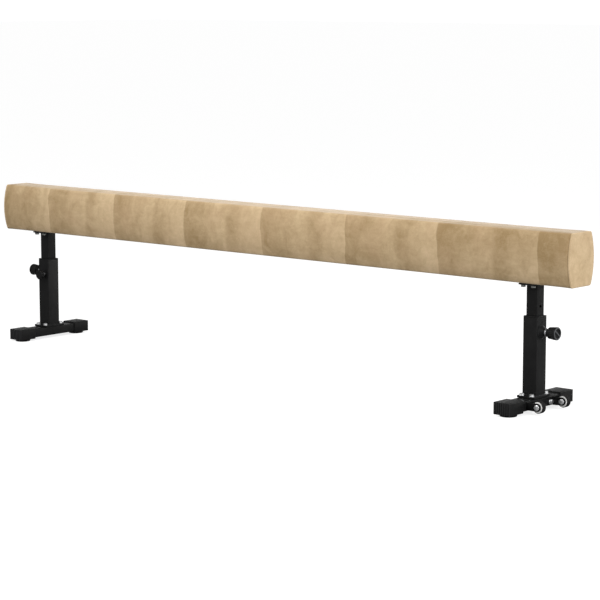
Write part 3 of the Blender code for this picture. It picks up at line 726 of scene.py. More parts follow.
RING_STEP = 0.009
SIDE_STEPS = 20
FLAT_STEPS = 14
CORNER_RING_STEPS = 5
SEAM_HALF_WIDTH = 0.0016
SEAM_DEPTH = 0.0009
SEAM_REACH = 2.5 * SEAM_HALF_WIDTH
SEAM_LIFT = 0.0001
UNDERSIDE_DEPTH = 0.004
CURL_RADIUS = 0.0024
LIP_WIDTH = 0.004
MOST_SWELL = 0.0012
CLOTH_PRESSURE = 4.0
CLOTH_STRETCH_STIFFNESS = 40.0
CLOTH_BENDING_STIFFNESS = 6.0
CLOTH_FRAMES = 20


def section(inset):
    """Half section of the beam from the middle of its underside to the middle of its top, on +Y."""
    bulge = (BEAM_MIDDLE_WIDTH - BEAM_TOP_WIDTH) / 2
    side_radius = ((BEAM_HEIGHT / 2) ** 2 + bulge**2) / (2 * bulge)
    side_centre = BEAM_MIDDLE_WIDTH / 2 - side_radius
    corner_z = BEAM_HEIGHT / 2 - BEAM_CORNER_RADIUS
    corner_y = side_centre + math.sqrt((side_radius - BEAM_CORNER_RADIUS) ** 2 - corner_z**2)
    side_angle = math.atan2(corner_z, corner_y - side_centre)
    side = []
    reach = side_radius - inset
    for step in range(SIDE_STEPS + 1):
        angle = side_angle * (2 * step / SIDE_STEPS - 1)
        side.append((side_centre + reach * math.cos(angle), reach * math.sin(angle)))
    corner = []
    reach = BEAM_CORNER_RADIUS - inset
    for step in range(1, CORNER_RING_STEPS + 1):
        angle = side_angle + (math.pi / 2 - side_angle) * step / CORNER_RING_STEPS
        corner.append((corner_y + reach * math.cos(angle), corner_z + reach * math.sin(angle)))
    flat_z = BEAM_HEIGHT / 2 - inset
    flat = [(corner_y * (1 - step / FLAT_STEPS), flat_z) for step in range(1, FLAT_STEPS + 1)]
    lower = [(y, -z) for y, z in reversed(corner + flat)]
    return lower + side + corner + flat


def ring_at(x, inset, scale=1.0):
    """The whole section at one place along the beam, as points from the middle of its underside."""
    half = section(inset)
    outline = half + [(-y, z) for y, z in reversed(half[1:-1])]
    return [(x, y * scale, BEAM_MIDDLE_Z + z * scale) for y, z in outline]


def skin_rings():
    """(x, inset) of every ring of the cover's outer skin, curled in at both ends."""
    straight = COVER_HIGH.x - CURL_RADIUS
    count = round(2 * straight / RING_STEP)
    rings = [(-straight + 2 * straight * i / count, 0.0) for i in range(count + 1)]
    for step in range(1, EDGE_STEPS + 2):
        angle = math.pi / 2 * step / (EDGE_STEPS + 1)
        x = straight + CURL_RADIUS * math.sin(angle)
        inset = CURL_RADIUS * (1 - math.cos(angle))
        rings.append((x, inset))
        rings.insert(0, (-x, inset))
    return rings


def skin_mesh(rings):
    """Rings of points joined into a tube with open ends, and the number of points in a ring."""
    points, faces = [], []
    for x, inset in rings:
        points += ring_at(x, inset)
    around = len(points) // len(rings)
    for ring in range(len(rings) - 1):
        for step in range(around):
            first = ring * around + step
            ahead = ring * around + (step + 1) % around
            faces.append((first, ahead, ahead + around, first + around))
    mesh = bpy.data.meshes.new("skin")
    mesh.from_pydata(points, [], faces)
    return mesh, around


def swelled(mesh, held):
    """The mesh's points after a short cloth simulation under pressure, each moved only slightly."""
    rest = [vertex.co.copy() for vertex in mesh.vertices]
    scene = bpy.context.scene
    body = link("swelling", mesh.copy())
    pins = body.vertex_groups.new(name="held")
    pins.add(held, 1.0, "REPLACE")
    cloth = body.modifiers.new("cloth", "CLOTH")
    cloth.settings.use_pressure = True
    cloth.settings.uniform_pressure_force = CLOTH_PRESSURE
    cloth.settings.effector_weights.gravity = 0.0
    cloth.settings.vertex_group_mass = "held"
    cloth.settings.tension_stiffness = CLOTH_STRETCH_STIFFNESS
    cloth.settings.compression_stiffness = CLOTH_STRETCH_STIFFNESS
    cloth.settings.bending_stiffness = CLOTH_BENDING_STIFFNESS
    cloth.point_cache.frame_start = 1
    cloth.point_cache.frame_end = CLOTH_FRAMES
    for number in range(1, CLOTH_FRAMES + 1):
        scene.frame_set(number)
    solved = body.evaluated_get(bpy.context.evaluated_depsgraph_get())
    moved = []
    for start, vertex in zip(rest, solved.to_mesh().vertices):
        shift = vertex.co - start
        moved.append(start + shift * (MOST_SWELL / (MOST_SWELL + shift.length)))
    solved.to_mesh_clear()
    scene.frame_set(1)
    bpy.data.objects.remove(body)
    return moved


def build_cover():
    """The suede cover: swelled outer skin, a groove under the beam where it closes, and an inner side."""
    rings = skin_rings()
    mesh, around = skin_mesh(rings)
    count = len(mesh.vertices)
    ends = list(range(around * 2)) + list(range(count - around * 2, count))
    seam = [ring * around + step for ring in range(len(rings)) for step in (around - 1, 0, 1)]
    points = swelled(mesh, sorted(set(ends + seam)))
    for vertex, point in zip(mesh.vertices, points):
        vertex.co = point
        under = point.z < COVER_LOW.z + UNDERSIDE_DEPTH
        if under and abs(point.y) < SEAM_REACH:
            sunk = SEAM_DEPTH * math.exp(-((point.y / SEAM_HALF_WIDTH) ** 2))
            vertex.co.z = COVER_LOW.z + SEAM_LIFT + sunk
    close_cover(mesh, around)
    piece("suede_wrap", "suede_cover", mesh, COVER_SUEDE, "beam")


def close_cover(mesh, around):
    """Turns the skin's open ends inwards and joins them by an inner side, so that it is one solid."""
    shape = bmesh.new()
    shape.from_mesh(mesh)
    shape.verts.ensure_lookup_table()
    skin = list(shape.verts)
    lip = CURL_RADIUS + LIP_WIDTH
    inner_loops = []
    for x, rim in ((-COVER_HIGH.x, skin[:around]), (COVER_HIGH.x, skin[-around:])):
        deep_x = x - math.copysign(COVER_THICKNESS, x)
        loops = [rim]
        for ring in (ring_at(x, lip), ring_at(deep_x, lip), ring_at(deep_x, COVER_THICKNESS)):
            loops.append([shape.verts.new(point) for point in ring])
        for outer, inner in zip(loops, loops[1:]):
            bridge(shape, outer, inner)
        inner_loops.append(loops[-1])
    bridge(shape, *inner_loops)
    bmesh.ops.recalc_face_normals(shape, faces=shape.faces)
    written(shape, mesh)


# End panels

CROWN_STEPS = 14
CROWN_HEIGHT = 0.0012
BACK_CURL_SHARE = 0.55


def panel_rings():
    """(inset, depth, scale) of a panel's rings: back, rolled border, then crowned face."""
    thickness = PANEL_HIGH.x - PANEL_LOW.x
    rings = [(CURL_RADIUS * 1.6, 0.0, 1.0), (CURL_RADIUS * BACK_CURL_SHARE, 0.0, 1.0)]
    for step in range(EDGE_STEPS + 2):
        angle = math.pi / 2 * step / (EDGE_STEPS + 1)
        inset = CURL_RADIUS * BACK_CURL_SHARE * (1 - math.sin(angle))
        rings.append((inset, CURL_RADIUS * (1 - math.cos(angle)), 1.0))
    for step in range(1, EDGE_STEPS + 2):
        angle = math.pi / 2 * step / (EDGE_STEPS + 1)
        depth = thickness - CURL_RADIUS * (1 - math.sin(angle))
        rings.append((CURL_RADIUS * (1 - math.cos(angle)), depth, 1.0))
    for step in range(1, CROWN_STEPS):
        share = step / CROWN_STEPS
        depth = thickness + CROWN_HEIGHT * math.sin(math.pi / 2 * share)
        rings.append((CURL_RADIUS, depth, 1 - share))
    return rings


def build_end_panel(side):
    """A padded suede panel: border curled in to the seam, face crowned towards its middle."""
    outward = 1 if side == "right" else -1
    shape = bmesh.new()
    loops = []
    for inset, depth, scale in panel_rings():
        ring = ring_at(outward * (PANEL_LOW.x + depth), inset, scale)
        loops.append([shape.verts.new(point) for point in ring])
    for first, second in zip(loops, loops[1:]):
        bridge(shape, first, second)
    shape.faces.new(loops[0])
    centre = shape.verts.new((outward * (PANEL_HIGH.x + CROWN_HEIGHT), 0.0, BEAM_MIDDLE_Z))
    last = loops[-1]
    for step in range(len(last)):
        shape.faces.new((last[step], last[(step + 1) % len(last)], centre))
    bmesh.ops.recalc_face_normals(shape, faces=shape.faces)
    mesh = written(shape, bpy.data.meshes.new("panel"))
    piece(f"end_panel_suede_{side}", f"end_panel_{side}", mesh, PANEL_SUEDE, "beam")


# Stitches. Each kind of seam has its stitch's length and pitch.

PANEL_STITCH = (0.0034, 0.0048)
UNDER_STITCH = (0.0048, 0.0079)
STITCH_WIDTH = 0.0009
STITCH_HEIGHT = 0.00045
PANEL_SEAM_INSET = 0.0045
UNDER_SEAM_Y = 0.0055
UNDER_SEAM_END = 0.012
PLATE_MARGIN = 0.006
PANEL_PATH_STEP = 0.0005
UNDER_PATH_STEP = 0.002


def stitch_row(name, path, stitch, pitch):
    """Short lens-shaped stitches at an even pitch along a path, each half sunk in the suede.

    Each path entry is (place, direction, outward normal).
    """
    form = bmesh.new()
    bmesh.ops.create_uvsphere(form, u_segments=8, v_segments=6, radius=1.0)
    size = Vector((stitch / 2, STITCH_WIDTH / 2, STITCH_HEIGHT))
    grain = [vertex.co * size for vertex in form.verts]
    corners = [[vertex.index for vertex in face.verts] for face in form.faces]
    form.free()
    points, faces = [], []
    travelled = pitch
    last_place = path[0][0]
    for place, direction, normal in path:
        travelled += (place - last_place).length
        last_place = place
        if travelled < pitch:
            continue
        travelled = 0.0
        side = direction.cross(normal)
        first = len(points)
        points += [place + direction * p.x + side * p.y + normal * p.z for p in grain]
        faces += [[first + index for index in face] for face in corners]
    mesh = bpy.data.meshes.new(name)
    mesh.from_pydata(points, [], faces)
    piece(name, None, mesh, THREAD, "beam")


def panel_seam_path(side):
    """Points round an end panel, a little in from its border, spaced finely."""
    outward = 1 if side == "right" else -1
    places = [Vector(point) for point in ring_at(outward * PANEL_HIGH.x, PANEL_SEAM_INSET)]
    path = []
    for index, start in enumerate(places):
        end = places[(index + 1) % len(places)]
        parts = max(1, round((end - start).length / PANEL_PATH_STEP))
        for part in range(parts):
            direction = (end - start).normalized()
            path.append((start.lerp(end, part / parts), direction, Vector((outward, 0.0, 0.0))))
    return path


def under_seam_path(y):
    """Points along the closing seam under the beam, left out where the stands' plates sit."""
    path = []
    limit = COVER_HIGH.x - UNDER_SEAM_END
    count = round(2 * limit / UNDER_PATH_STEP)
    for index in range(count + 1):
        x = -limit + 2 * limit * index / count
        over_plate = abs(abs(x) - STAND_X) < PLATE_WIDTH / 2 + PLATE_MARGIN
        if not over_plate:
            place = Vector((x, y, COVER_LOW.z))
            path.append((place, Vector((1.0, 0.0, 0.0)), Vector((0.0, 0.0, -1.0))))
    return path


def build_stitches():
    """Thread round both end panels and along both sides of the seam under the beam."""
    for side in STANDS:
        stitch_row(f"panel_thread_{side}", panel_seam_path(side), *PANEL_STITCH)
    for number, y in enumerate((-UNDER_SEAM_Y, UNDER_SEAM_Y), start=1):
        stitch_row(f"under_seam_thread_{number}", under_seam_path(y), *UNDER_STITCH)


# Hardware


def bolt_head(bottom):
    """Hexagon head with its upper corners turned off, as a forged bolt has."""
    top = bottom + M8_HEAD_HEIGHT
    corner = M8_FLAT / math.sqrt(3)
    past = corner * 1.02
    profile = [
        (0.0, top), (M8_FLAT * 0.46, top), (past, top - corner * 0.16),
        (past, bottom - 0.001), (0.0, bottom - 0.001),
    ]
    hexed = prism([hexagon(M8_FLAT)], bottom, top, 0.0002)
    return combined(hexed, [turned(profile, 0.0001, steps=48)], "INTERSECT")


def hex_bolt(shank_length):
    """Flanged M8 hexagon bolt, head up, its seat at height zero, with a threaded shank below."""
    flange = M8_FLANGE_HEIGHT
    pitch = M8_RADIUS * 0.3
    profile = [
        (0.0, flange + M8_HEAD_HEIGHT / 2), (M8_FLAT * 0.42, flange + M8_HEAD_HEIGHT / 2),
        (M8_FLAT * 0.42, flange + 0.0003), (M8_FLAT * 0.52, flange),
        (M8_FLANGE_RADIUS, flange * 0.55), (M8_FLANGE_RADIUS, 0.0), (M8_RADIUS, 0.0),
    ]
    height = -0.004
    while height > pitch - shank_length:
        profile += [(M8_RADIUS, height), (M8_RADIUS * 0.88, height - pitch / 2)]
        height -= pitch
    profile += [(M8_RADIUS * 0.85, -shank_length), (0.0, -shank_length)]
    stem = turned(profile, 0.00015, steps=40)
    return combined(stem, [bolt_head(flange - 0.0002)], "UNION")


def bolt_places():
    """The four bolt positions of a plate, front pair first."""
    return [(side * BOLT_X, end * BOLT_Y) for end in (-1, 1) for side in (-1, 1)]


def drilled_plate(bottom, top):
    """A bolted plate with four holes."""
    outlines = [rounded_rectangle(PLATE_WIDTH, PLATE_LENGTH, PLATE_CORNER_RADIUS)]
    outlines += [circle(M8_HOLE_RADIUS, centre) for centre in bolt_places()]
    return prism(outlines, bottom, top, 0.0007)


def square_path(width, z):
    """The outline of a square tube as points in space."""
    return [(x, y, z) for x, y in square(width)]


# Telescopic posts, in a stand's own frame


def outer_post_mesh():
    """Outer tube with its base plate, boss, holes and welding beads."""
    half = OUTER_TUBE / 2
    wall_middle = half - TUBE_WALL / 2
    plate_top = POST_LOW.z + BASE_PLATE_THICKNESS
    boss_end = POST_HIGH.x - STAND_X
    outlines = [square(OUTER_TUBE), bore_of(OUTER_TUBE)]
    tube = prism(outlines, plate_top - WELD_OVERLAP, POST_HIGH.z, 0.0004)
    profile = [
        (0.0076, boss_end), (0.0100, boss_end), (0.0115, boss_end - 0.004),
        (0.0195, half + 0.001), (0.0195, half - 0.0005), (0.0076, half - 0.0005),
    ]
    boss = turned(profile, 0.0008, True, at(0.0, 0.0, PIN_Z, ALONG_X))
    welded = combined(tube, [drilled_plate(POST_LOW.z, plate_top), boss], "UNION")
    through = 3 * TUBE_WALL
    pin_hole = rods(PIN_HOLE_RADIUS, through, [(wall_middle, 0.0, PIN_Z)], ALONG_X)
    stud_hole = rods(SNAP_STUD_RADIUS + GAP, through, [(wall_middle, 0.0, SNAP_STUD_Z)], ALONG_X)
    clamp_hole = rods(PIN_HOLE_RADIUS, through, [(0.0, wall_middle, CLAMP_Z)], ALONG_Y)
    post = combined(welded, [pin_hole, stud_hole, clamp_hole], "DIFFERENCE")
    foot = weld_bead(square_path(OUTER_TUBE + 0.0012, plate_top + 0.0004), 0.0019)
    collar_path = [(half + 0.0004, y, PIN_Z + z) for y, z in circle(0.0197, steps=48)]
    return merged(post, foot, weld_bead(collar_path, 0.0011))


def inner_post_mesh():
    """Inner tube with its row of pin holes, its plate under the beam and the bead between them."""
    plate_top = INNER_HIGH.z
    plate_bottom = plate_top - TOP_PLATE_THICKNESS
    outlines = [square(INNER_TUBE), bore_of(INNER_TUBE)]
    tube = prism(outlines, INNER_LOW.z, plate_bottom + WELD_OVERLAP, 0.0004)
    welded = combined(tube, [drilled_plate(plate_bottom, plate_top)], "UNION")
    places = [(INNER_TUBE / 2, 0.0, PIN_Z + step * HOLE_PITCH) for step in (-1, 0, 1)]
    holes = rods(PIN_HOLE_RADIUS, 4 * TUBE_WALL, places, ALONG_X)
    post = combined(welded, [holes], "DIFFERENCE")
    return merged(post, weld_bead(square_path(INNER_TUBE + 0.0012, plate_bottom - 0.0004), 0.0017))


def guide_bushing_mesh():
    """Plastic guide in the outer tube's mouth, with its snap stud."""
    bore = INNER_TUBE + 2 * GAP
    skirt_width = OUTER_TUBE - 2 * TUBE_WALL - 2 * GAP
    flange_bottom = POST_HIGH.z + GAP
    inner = rounded_rectangle(bore, bore, TUBE_CORNER_RADIUS)
    skirt_outer = rounded_rectangle(skirt_width, skirt_width, 0.0005)
    skirt = prism([skirt_outer, inner], BUSHING_LOW.z, flange_bottom + WELD_OVERLAP, 0.0003)
    flange = prism([square(OUTER_TUBE), inner], flange_bottom, BUSHING_HIGH.z, 0.0009)
    tip = OUTER_TUBE / 2 - GAP
    root = skirt_width / 2 - WELD_OVERLAP
    profile = [(0.0, tip), (SNAP_STUD_RADIUS, tip), (SNAP_STUD_RADIUS, root), (0.0, root)]
    stud = turned(profile, 0.0006, place=at(0.0, 0.0, SNAP_STUD_Z, ALONG_X))
    return combined(skirt, [flange, stud], "UNION")


# Base


def base_bar_mesh(with_wheels):
    """Rectangular tube across the beam, drilled for the post and for the wheel bracket."""
    outlines = [
        rounded_rectangle(BAR_WIDTH, BAR_HEIGHT, 0.003),
        rounded_rectangle(BAR_WIDTH - 2 * TUBE_WALL, BAR_HEIGHT - 2 * TUBE_WALL, 0.001),
    ]
    half = (BAR_HIGH.y - BAR_LOW.y) / 2
    bar = prism(outlines, -half, half, 0.0003, at(0.0, 0.0, BAR_MIDDLE_Z, ALONG_MINUS_Y))
    through = 4 * TUBE_WALL
    cutters = [rods(M8_HOLE_RADIUS, through, [(x, y, BAR_HIGH.z) for x, y in bolt_places()])]
    if with_wheels:
        sides = [(BAR_WIDTH / 2, end * BRACKET_BOLT_Y, BRACKET_BOLT_Z) for end in (-1, 1)]
        cutters.append(rods(M8_HOLE_RADIUS, through, sides, ALONG_X))
    return combined(bar, cutters, "DIFFERENCE")


def end_cap_mesh():
    """Moulded cap for a base bar's front end: ribbed end face, soft edges, pocket towards +Y."""
    width, length, height = CAP_HIGH - CAP_LOW
    body = prism([rounded_rectangle(width, length, 0.0032)], -height / 2, height / 2, 0.0018)
    pocket_outline = rounded_rectangle(BAR_WIDTH + 2 * GAP, BAR_HEIGHT + 2 * GAP, 0.0031)
    pocket = prism([pocket_outline], -length / 2 + CAP_WALL, length, 0.0, ALONG_Y)
    spacing = (width - 2 * CAP_GROOVE_MARGIN) / (CAP_GROOVES - 1)
    first = -width / 2 + CAP_GROOVE_MARGIN
    depth = length / 2 + CAP_GROOVE_RADIUS * 0.25
    places = [(first + spacing * index, -depth, 0.0) for index in range(CAP_GROOVES)]
    grooves = rods(CAP_GROOVE_RADIUS, height * 1.2, places)
    spigot_hole = rods(0.0053, 3 * CAP_WALL, [(0.0, 0.0, -height / 2)])
    return combined(body, [pocket, grooves, spigot_hole], "DIFFERENCE")


def foot_pad_mesh():
    """Round rubber foot: spigot above, rounded rim, and rings moulded in its tread."""
    radius = (PAD_HIGH.x - PAD_LOW.x) / 2
    height = PAD_HIGH.z - 0.003
    profile = [
        (0.0, PAD_HIGH.z), (0.005, PAD_HIGH.z), (0.005, height), (radius - 0.0008, height),
        (radius, height - 0.0008), (radius, height * 0.62), (radius - 0.0005, height * 0.55),
        (radius, height * 0.48), (radius, 0.0014), (radius - 0.0014, 0.0),
    ]
    for ring in range(4):
        start = radius - 0.0050 - ring * 0.0055
        profile += [(start, 0.0), (start - 0.0005, 0.0009)]
        profile += [(start - 0.0017, 0.0009), (start - 0.0022, 0.0)]
    profile.append((0.0, 0.0))
    return turned(profile, 0.0002)


# Pull pin and clamping screw. Profile heights are distances from the post's middle.


def pin_barrel_mesh():
    """Steel barrel that guides the plunger, with a groove turned near its outer end."""
    inner_end = BARREL_LOW.x - STAND_X
    outer_end = BARREL_HIGH.x - STAND_X
    shoulder = POST_HIGH.x - STAND_X + GAP
    profile = [
        (0.0044, outer_end), (0.0082, outer_end), (0.0095, outer_end - 0.0012),
        (0.0095, outer_end - 0.0040), (0.0089, outer_end - 0.0045),
        (0.0089, outer_end - 0.0056), (0.0095, outer_end - 0.0061),
        (0.0095, shoulder), (0.0073, shoulder), (0.0073, inner_end),
        (0.0044, inner_end), (0.0044, inner_end + 0.002), (0.0056, inner_end + 0.002),
        (0.0056, outer_end - 0.002), (0.0044, outer_end - 0.002),
    ]
    return turned(profile, 0.0002, True)


def fluted(mesh, start, end, radius, flutes, flute_radius, sink):
    """A round knob with lengthwise flutes cut round its grip."""
    reach = radius + flute_radius - sink
    places = []
    for index in range(flutes):
        angle = 2 * math.pi * (index + 0.5) / flutes
        places.append((reach * math.cos(angle), reach * math.sin(angle), (start + end) / 2))
    return combined(mesh, [rods(flute_radius, end - start, places)], "DIFFERENCE")


def pull_knob_mesh():
    """Fluted grip of the pull pin: raised rim and a plain diagonal bar on its end face."""
    end = KNOB_HIGH.x - STAND_X
    start = KNOB_LOW.x - STAND_X
    grip = start + 0.0067
    face = end - KNOB_RECESS
    radius = (KNOB_HIGH.z - KNOB_LOW.z) / 2
    profile = [
        (0.0, face), (radius - 0.0054, face), (radius - 0.0048, end), (radius - 0.0021, end),
        (radius, end - 0.0022), (radius - 0.0001, end - 0.0050), (radius - 0.0025, grip),
        (radius - 0.0042, grip - 0.0010), (radius - 0.0067, grip - 0.0014),
        (0.0125, start), (0.0102, start), (0.0102, start + 0.0083), (0.0043, start + 0.0083),
        (0.0043, start + 0.0187), (0.0, start + 0.0187),
    ]
    knob = turned(profile, 0.0007)
    knob = fluted(knob, grip - 0.0015, end - 0.0045, radius - 0.0008, 20, 0.0020, 0.0013)
    slant = Matrix.Rotation(math.radians(-40), 4, "Z")
    bar_outline = rounded_rectangle(2 * radius - 0.0098, 0.0042, 0.0018)
    bar = prism([bar_outline], face - 0.001, end - 0.0004, 0.0005, slant)
    return combined(knob, [bar], "UNION")


def clamp_nut_mesh():
    """Hexagon nut on the outer tube, with both ends chamfered."""
    bottom = NUT_LOW.y
    top = NUT_HIGH.y
    flats = NUT_HIGH.z - NUT_LOW.z
    corner = flats / math.sqrt(3)
    past = corner * 1.02
    chamfer = corner * 0.14
    profile = [
        (0.0, top), (flats * 0.47, top), (past, top - chamfer),
        (past, bottom + chamfer), (flats * 0.47, bottom), (0.0, bottom),
    ]
    hexed = prism([hexagon(flats), circle(M8_RADIUS + GAP)], bottom, top, 0.0002)
    return combined(hexed, [turned(profile, 0.0001)], "INTERSECT")


def clamp_knob_mesh():
    """Scalloped clamping knob on its stud."""
    top = CLAMP_HIGH.y
    radius = (CLAMP_HIGH.x - CLAMP_LOW.x) / 2
    bottom = top - 0.012
    profile = [
        (0.0, top - 0.0010), (0.0085, top - 0.0010), (0.0100, top), (radius - 0.0028, top),
        (radius, top - 0.0026), (radius, bottom + 0.0026), (radius - 0.0022, bottom),
        (0.0080, bottom - 0.0020), (M8_RADIUS, bottom - 0.0020),
        (M8_RADIUS, CLAMP_LOW.y + 0.0011), (0.0030, CLAMP_LOW.y), (0.0, CLAMP_LOW.y),
    ]
    knob = turned(profile, 0.0009)
    return fluted(knob, bottom - 0.003, top + 0.003, radius, 9, 0.0042, 0.0020)


# Wheels


def wheel_bracket_mesh():
    """Bracket with four lugs and two welded nuts, bolted to the side of the base bar."""
    half = LUG_THICKNESS / 2
    inner_lug = WHEEL_Y - WHEEL_WIDTH / 2 - LUG_CLEARANCE - half
    outer_lug = WHEEL_Y + WHEEL_WIDTH / 2 + LUG_CLEARANCE + half
    web_outline = rounded_rectangle(2 * (outer_lug + half), 2 * LUG_RADIUS, 0.0012)
    web = prism([web_outline], 0.0, LUG_THICKNESS, 0.0005, at(WEB_X, 0.0, WHEEL_Z, ALONG_X))
    reach = WHEEL_X - WEB_X
    arc_steps = 24
    arc = [math.pi / 2 - math.pi * step / arc_steps for step in range(arc_steps + 1)]
    outline = [(reach + LUG_RADIUS * math.cos(a), LUG_RADIUS * math.sin(a)) for a in arc]
    root = LUG_THICKNESS / 6
    outline += [(root, -LUG_RADIUS), (root, LUG_RADIUS)]
    lug_outlines = [outline, circle(M8_RADIUS + GAP, (reach, 0.0))]
    nut_outlines = [hexagon(M8_FLAT), circle(M8_RADIUS + GAP)]
    added = []
    for y in (-outer_lug, -inner_lug, inner_lug, outer_lug):
        corner = at(WEB_X, y, WHEEL_Z, ALONG_MINUS_Y)
        added.append(prism(lug_outlines, -half, half, 0.0004, corner))
    for y in (-inner_lug, outer_lug):
        face = at(WHEEL_X, y + half, WHEEL_Z, ALONG_Y)
        added.append(prism(nut_outlines, -0.0005, M8_NUT_HEIGHT, 0.0004, face))
    welded = combined(web, added, "UNION")
    places = [(WEB_X, end * BRACKET_BOLT_Y, BRACKET_BOLT_Z) for end in (-1, 1)]
    return combined(welded, [rods(M8_HOLE_RADIUS, 4 * LUG_THICKNESS, places, ALONG_X)], "DIFFERENCE")


def tyre_mesh():
    """Rubber tyre with rounded shoulders and two shallow grooves."""
    half = WHEEL_WIDTH / 2
    groove = WHEEL_RADIUS - 0.0006
    return two_sided([
        (HUB_RADIUS + GAP, half), (WHEEL_RADIUS - 0.0012, half), (WHEEL_RADIUS, half - 0.0020),
        (WHEEL_RADIUS, 0.0036), (groove, 0.0032), (groove, 0.0024), (WHEEL_RADIUS, 0.0020),
    ], 0.0003)


def hub_mesh():
    """Nylon hub: pale rim, recessed web and a boss round the axle on both faces."""
    half = WHEEL_WIDTH / 2 - GAP / 2
    return two_sided([
        (M8_RADIUS + GAP, half), (0.0082, half), (0.0088, half - 0.0024), (0.0108, half - 0.0024),
        (0.0116, half - 0.0002), (HUB_RADIUS - 0.0006, half), (HUB_RADIUS, half - 0.0006),
    ], 0.0003)


# Assembly


def finish_inner_nodes():
    """Procedural finishes for the nodes that stay as they are, all of them inside the object."""
    looks = {"wood_core": laminated_wood(), "foam_padding": padding_foam()}
    spring_steel = plated_steel("oiled_spring_steel", (0.52, 0.53, 0.55), (0.25, 0.42), 1.0)
    for side in STANDS:
        looks[f"glide_plug_{side}"] = PLASTIC[0]
        looks[f"pin_plunger_{side}"] = ZINC[0]
        looks[f"pin_spring_{side}"] = spring_steel
    for name, look in looks.items():
        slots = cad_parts[name].data.materials
        slots.clear()
        slots.append(look)


def middle_of(name):
    """The middle of a CAD node's box."""
    low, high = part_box(name)
    return (low + high) / 2


def build_bolts(side, body, meshes):
    """The bolts through a stand's two plates; those up into the beam ride with it."""
    base_seat = POST_LOW.z + BASE_PLATE_THICKNESS + GAP
    beam_seat = INNER_HIGH.z - TOP_PLATE_THICKNESS - GAP
    for number in range(1, len(bolt_places()) + 1):
        for kind, look, holder, seat, turn in (
            # The bolts up into the beam are in zinc darkened as painted shade.
            ("beam_bolt", SHADED_ZINC, "beam", beam_seat, UPSIDE_DOWN),
            ("base_bolt", ZINC, body, base_seat, UPRIGHT),
        ):
            name = f"{kind}_{side}_{number}"
            middle = middle_of(name)
            place = at(middle.x, middle.y, seat, turn)
            piece(f"hex_{name}", name, meshes[kind], look, holder, place)


def build_feet(side, body, meshes):
    """The caps on a base bar's two ends and the rubber feet under them."""
    for end in ("front", "rear"):
        name = f"{side}_{end}"
        middle = middle_of(f"end_cap_{name}")
        place = at(*middle, UPRIGHT if middle.y < 0 else HALF_ROUND)
        piece(f"ribbed_cap_{name}", f"end_cap_{name}", meshes["end_cap"], CAP_PLASTIC, body, place)
        place = at(middle.x, middle.y, 0.0)
        piece(f"rubber_foot_{name}", f"foot_pad_{name}", meshes["foot_pad"], RUBBER, body, place)


def build_stand(side, meshes):
    """One stand's pieces, and the inner post with its bolts, which ride with the beam."""
    stand = STANDS[side]
    body = f"{side}_stand"
    pin = stand @ at(0.0, 0.0, PIN_Z, ALONG_X)
    clamp = stand @ at(0.0, 0.0, CLAMP_Z, ALONG_Y)
    for name, kind, look, holder, place in (
        ("post_tube", "outer_post", COAT, body, stand),
        ("post_guide", "guide_bushing", PLASTIC, body, stand),
        ("sliding_post", "inner_post", COAT, "beam", stand),
        ("base_tube", "base_bar", COAT, body, stand),
        ("barrel", "pin_barrel", GREY_STEEL, body, pin),
        ("pull_grip", "pull_knob", KNOB_PLASTIC, f"pull_pin_{side}", pin),
        ("lock_nut", "clamp_nut", ZINC, body, clamp),
        ("clamp_grip", "clamp_knob", PLASTIC, f"clamp_screw_{side}", clamp),
    ):
        piece(f"{name}_{side}", f"{kind}_{side}", meshes[kind], look, holder, place)
    build_bolts(side, body, meshes)
    build_feet(side, body, meshes)


def build_stands():
    """Both stands, from meshes that they share but for the base bar."""
    meshes = {
        "outer_post": outer_post_mesh(),
        "inner_post": inner_post_mesh(),
        "guide_bushing": guide_bushing_mesh(),
        "end_cap": end_cap_mesh(),
        "foot_pad": foot_pad_mesh(),
        "pin_barrel": pin_barrel_mesh(),
        "pull_knob": pull_knob_mesh(),
        "clamp_nut": clamp_nut_mesh(),
        "clamp_knob": clamp_knob_mesh(),
        "beam_bolt": hex_bolt(BEAM_BOLT_LENGTH),
        "base_bolt": hex_bolt(BASE_BOLT_LENGTH),
    }
    for side in STANDS:
        meshes["base_bar"] = base_bar_mesh(side == "right")
        build_stand(side, meshes)


def build_wheels():
    """Bracket, its bolts, and both wheels on their axle bolts."""
    right = STANDS["right"]
    holder = "right_stand"
    piece("wheel_carrier", "wheel_bracket", wheel_bracket_mesh(), COAT, holder, right)
    tyre = tyre_mesh()
    hub = hub_mesh()
    axle = hex_bolt(AXLE_BOLT_LENGTH)
    bolt = hex_bolt(BRACKET_BOLT_LENGTH)
    seat = WEB_X + LUG_THICKNESS + GAP
    head_offset = WHEEL_WIDTH / 2 + LUG_CLEARANCE + LUG_THICKNESS + GAP
    for name, end in (("front", -1), ("rear", 1)):
        body = f"wheel_{name}"
        place = right @ at(WHEEL_X, end * WHEEL_Y, WHEEL_Z, ALONG_MINUS_Y)
        piece(f"tyre_{name}", f"wheel_tyre_{name}", tyre, RUBBER, body, place)
        piece(f"hub_{name}", f"wheel_hub_{name}", hub, NYLON, body, place)
        place = right @ at(WHEEL_X, end * WHEEL_Y - head_offset, WHEEL_Z, ALONG_MINUS_Y)
        piece(f"hex_axle_bolt_{name}", f"axle_bolt_{name}", axle, ZINC, holder, place)
        place = right @ at(seat, end * BRACKET_BOLT_Y, BRACKET_BOLT_Z, ALONG_X)
        piece(f"hex_bracket_bolt_{name}", f"bracket_bolt_{name}", bolt, ZINC, holder, place)


# Studio

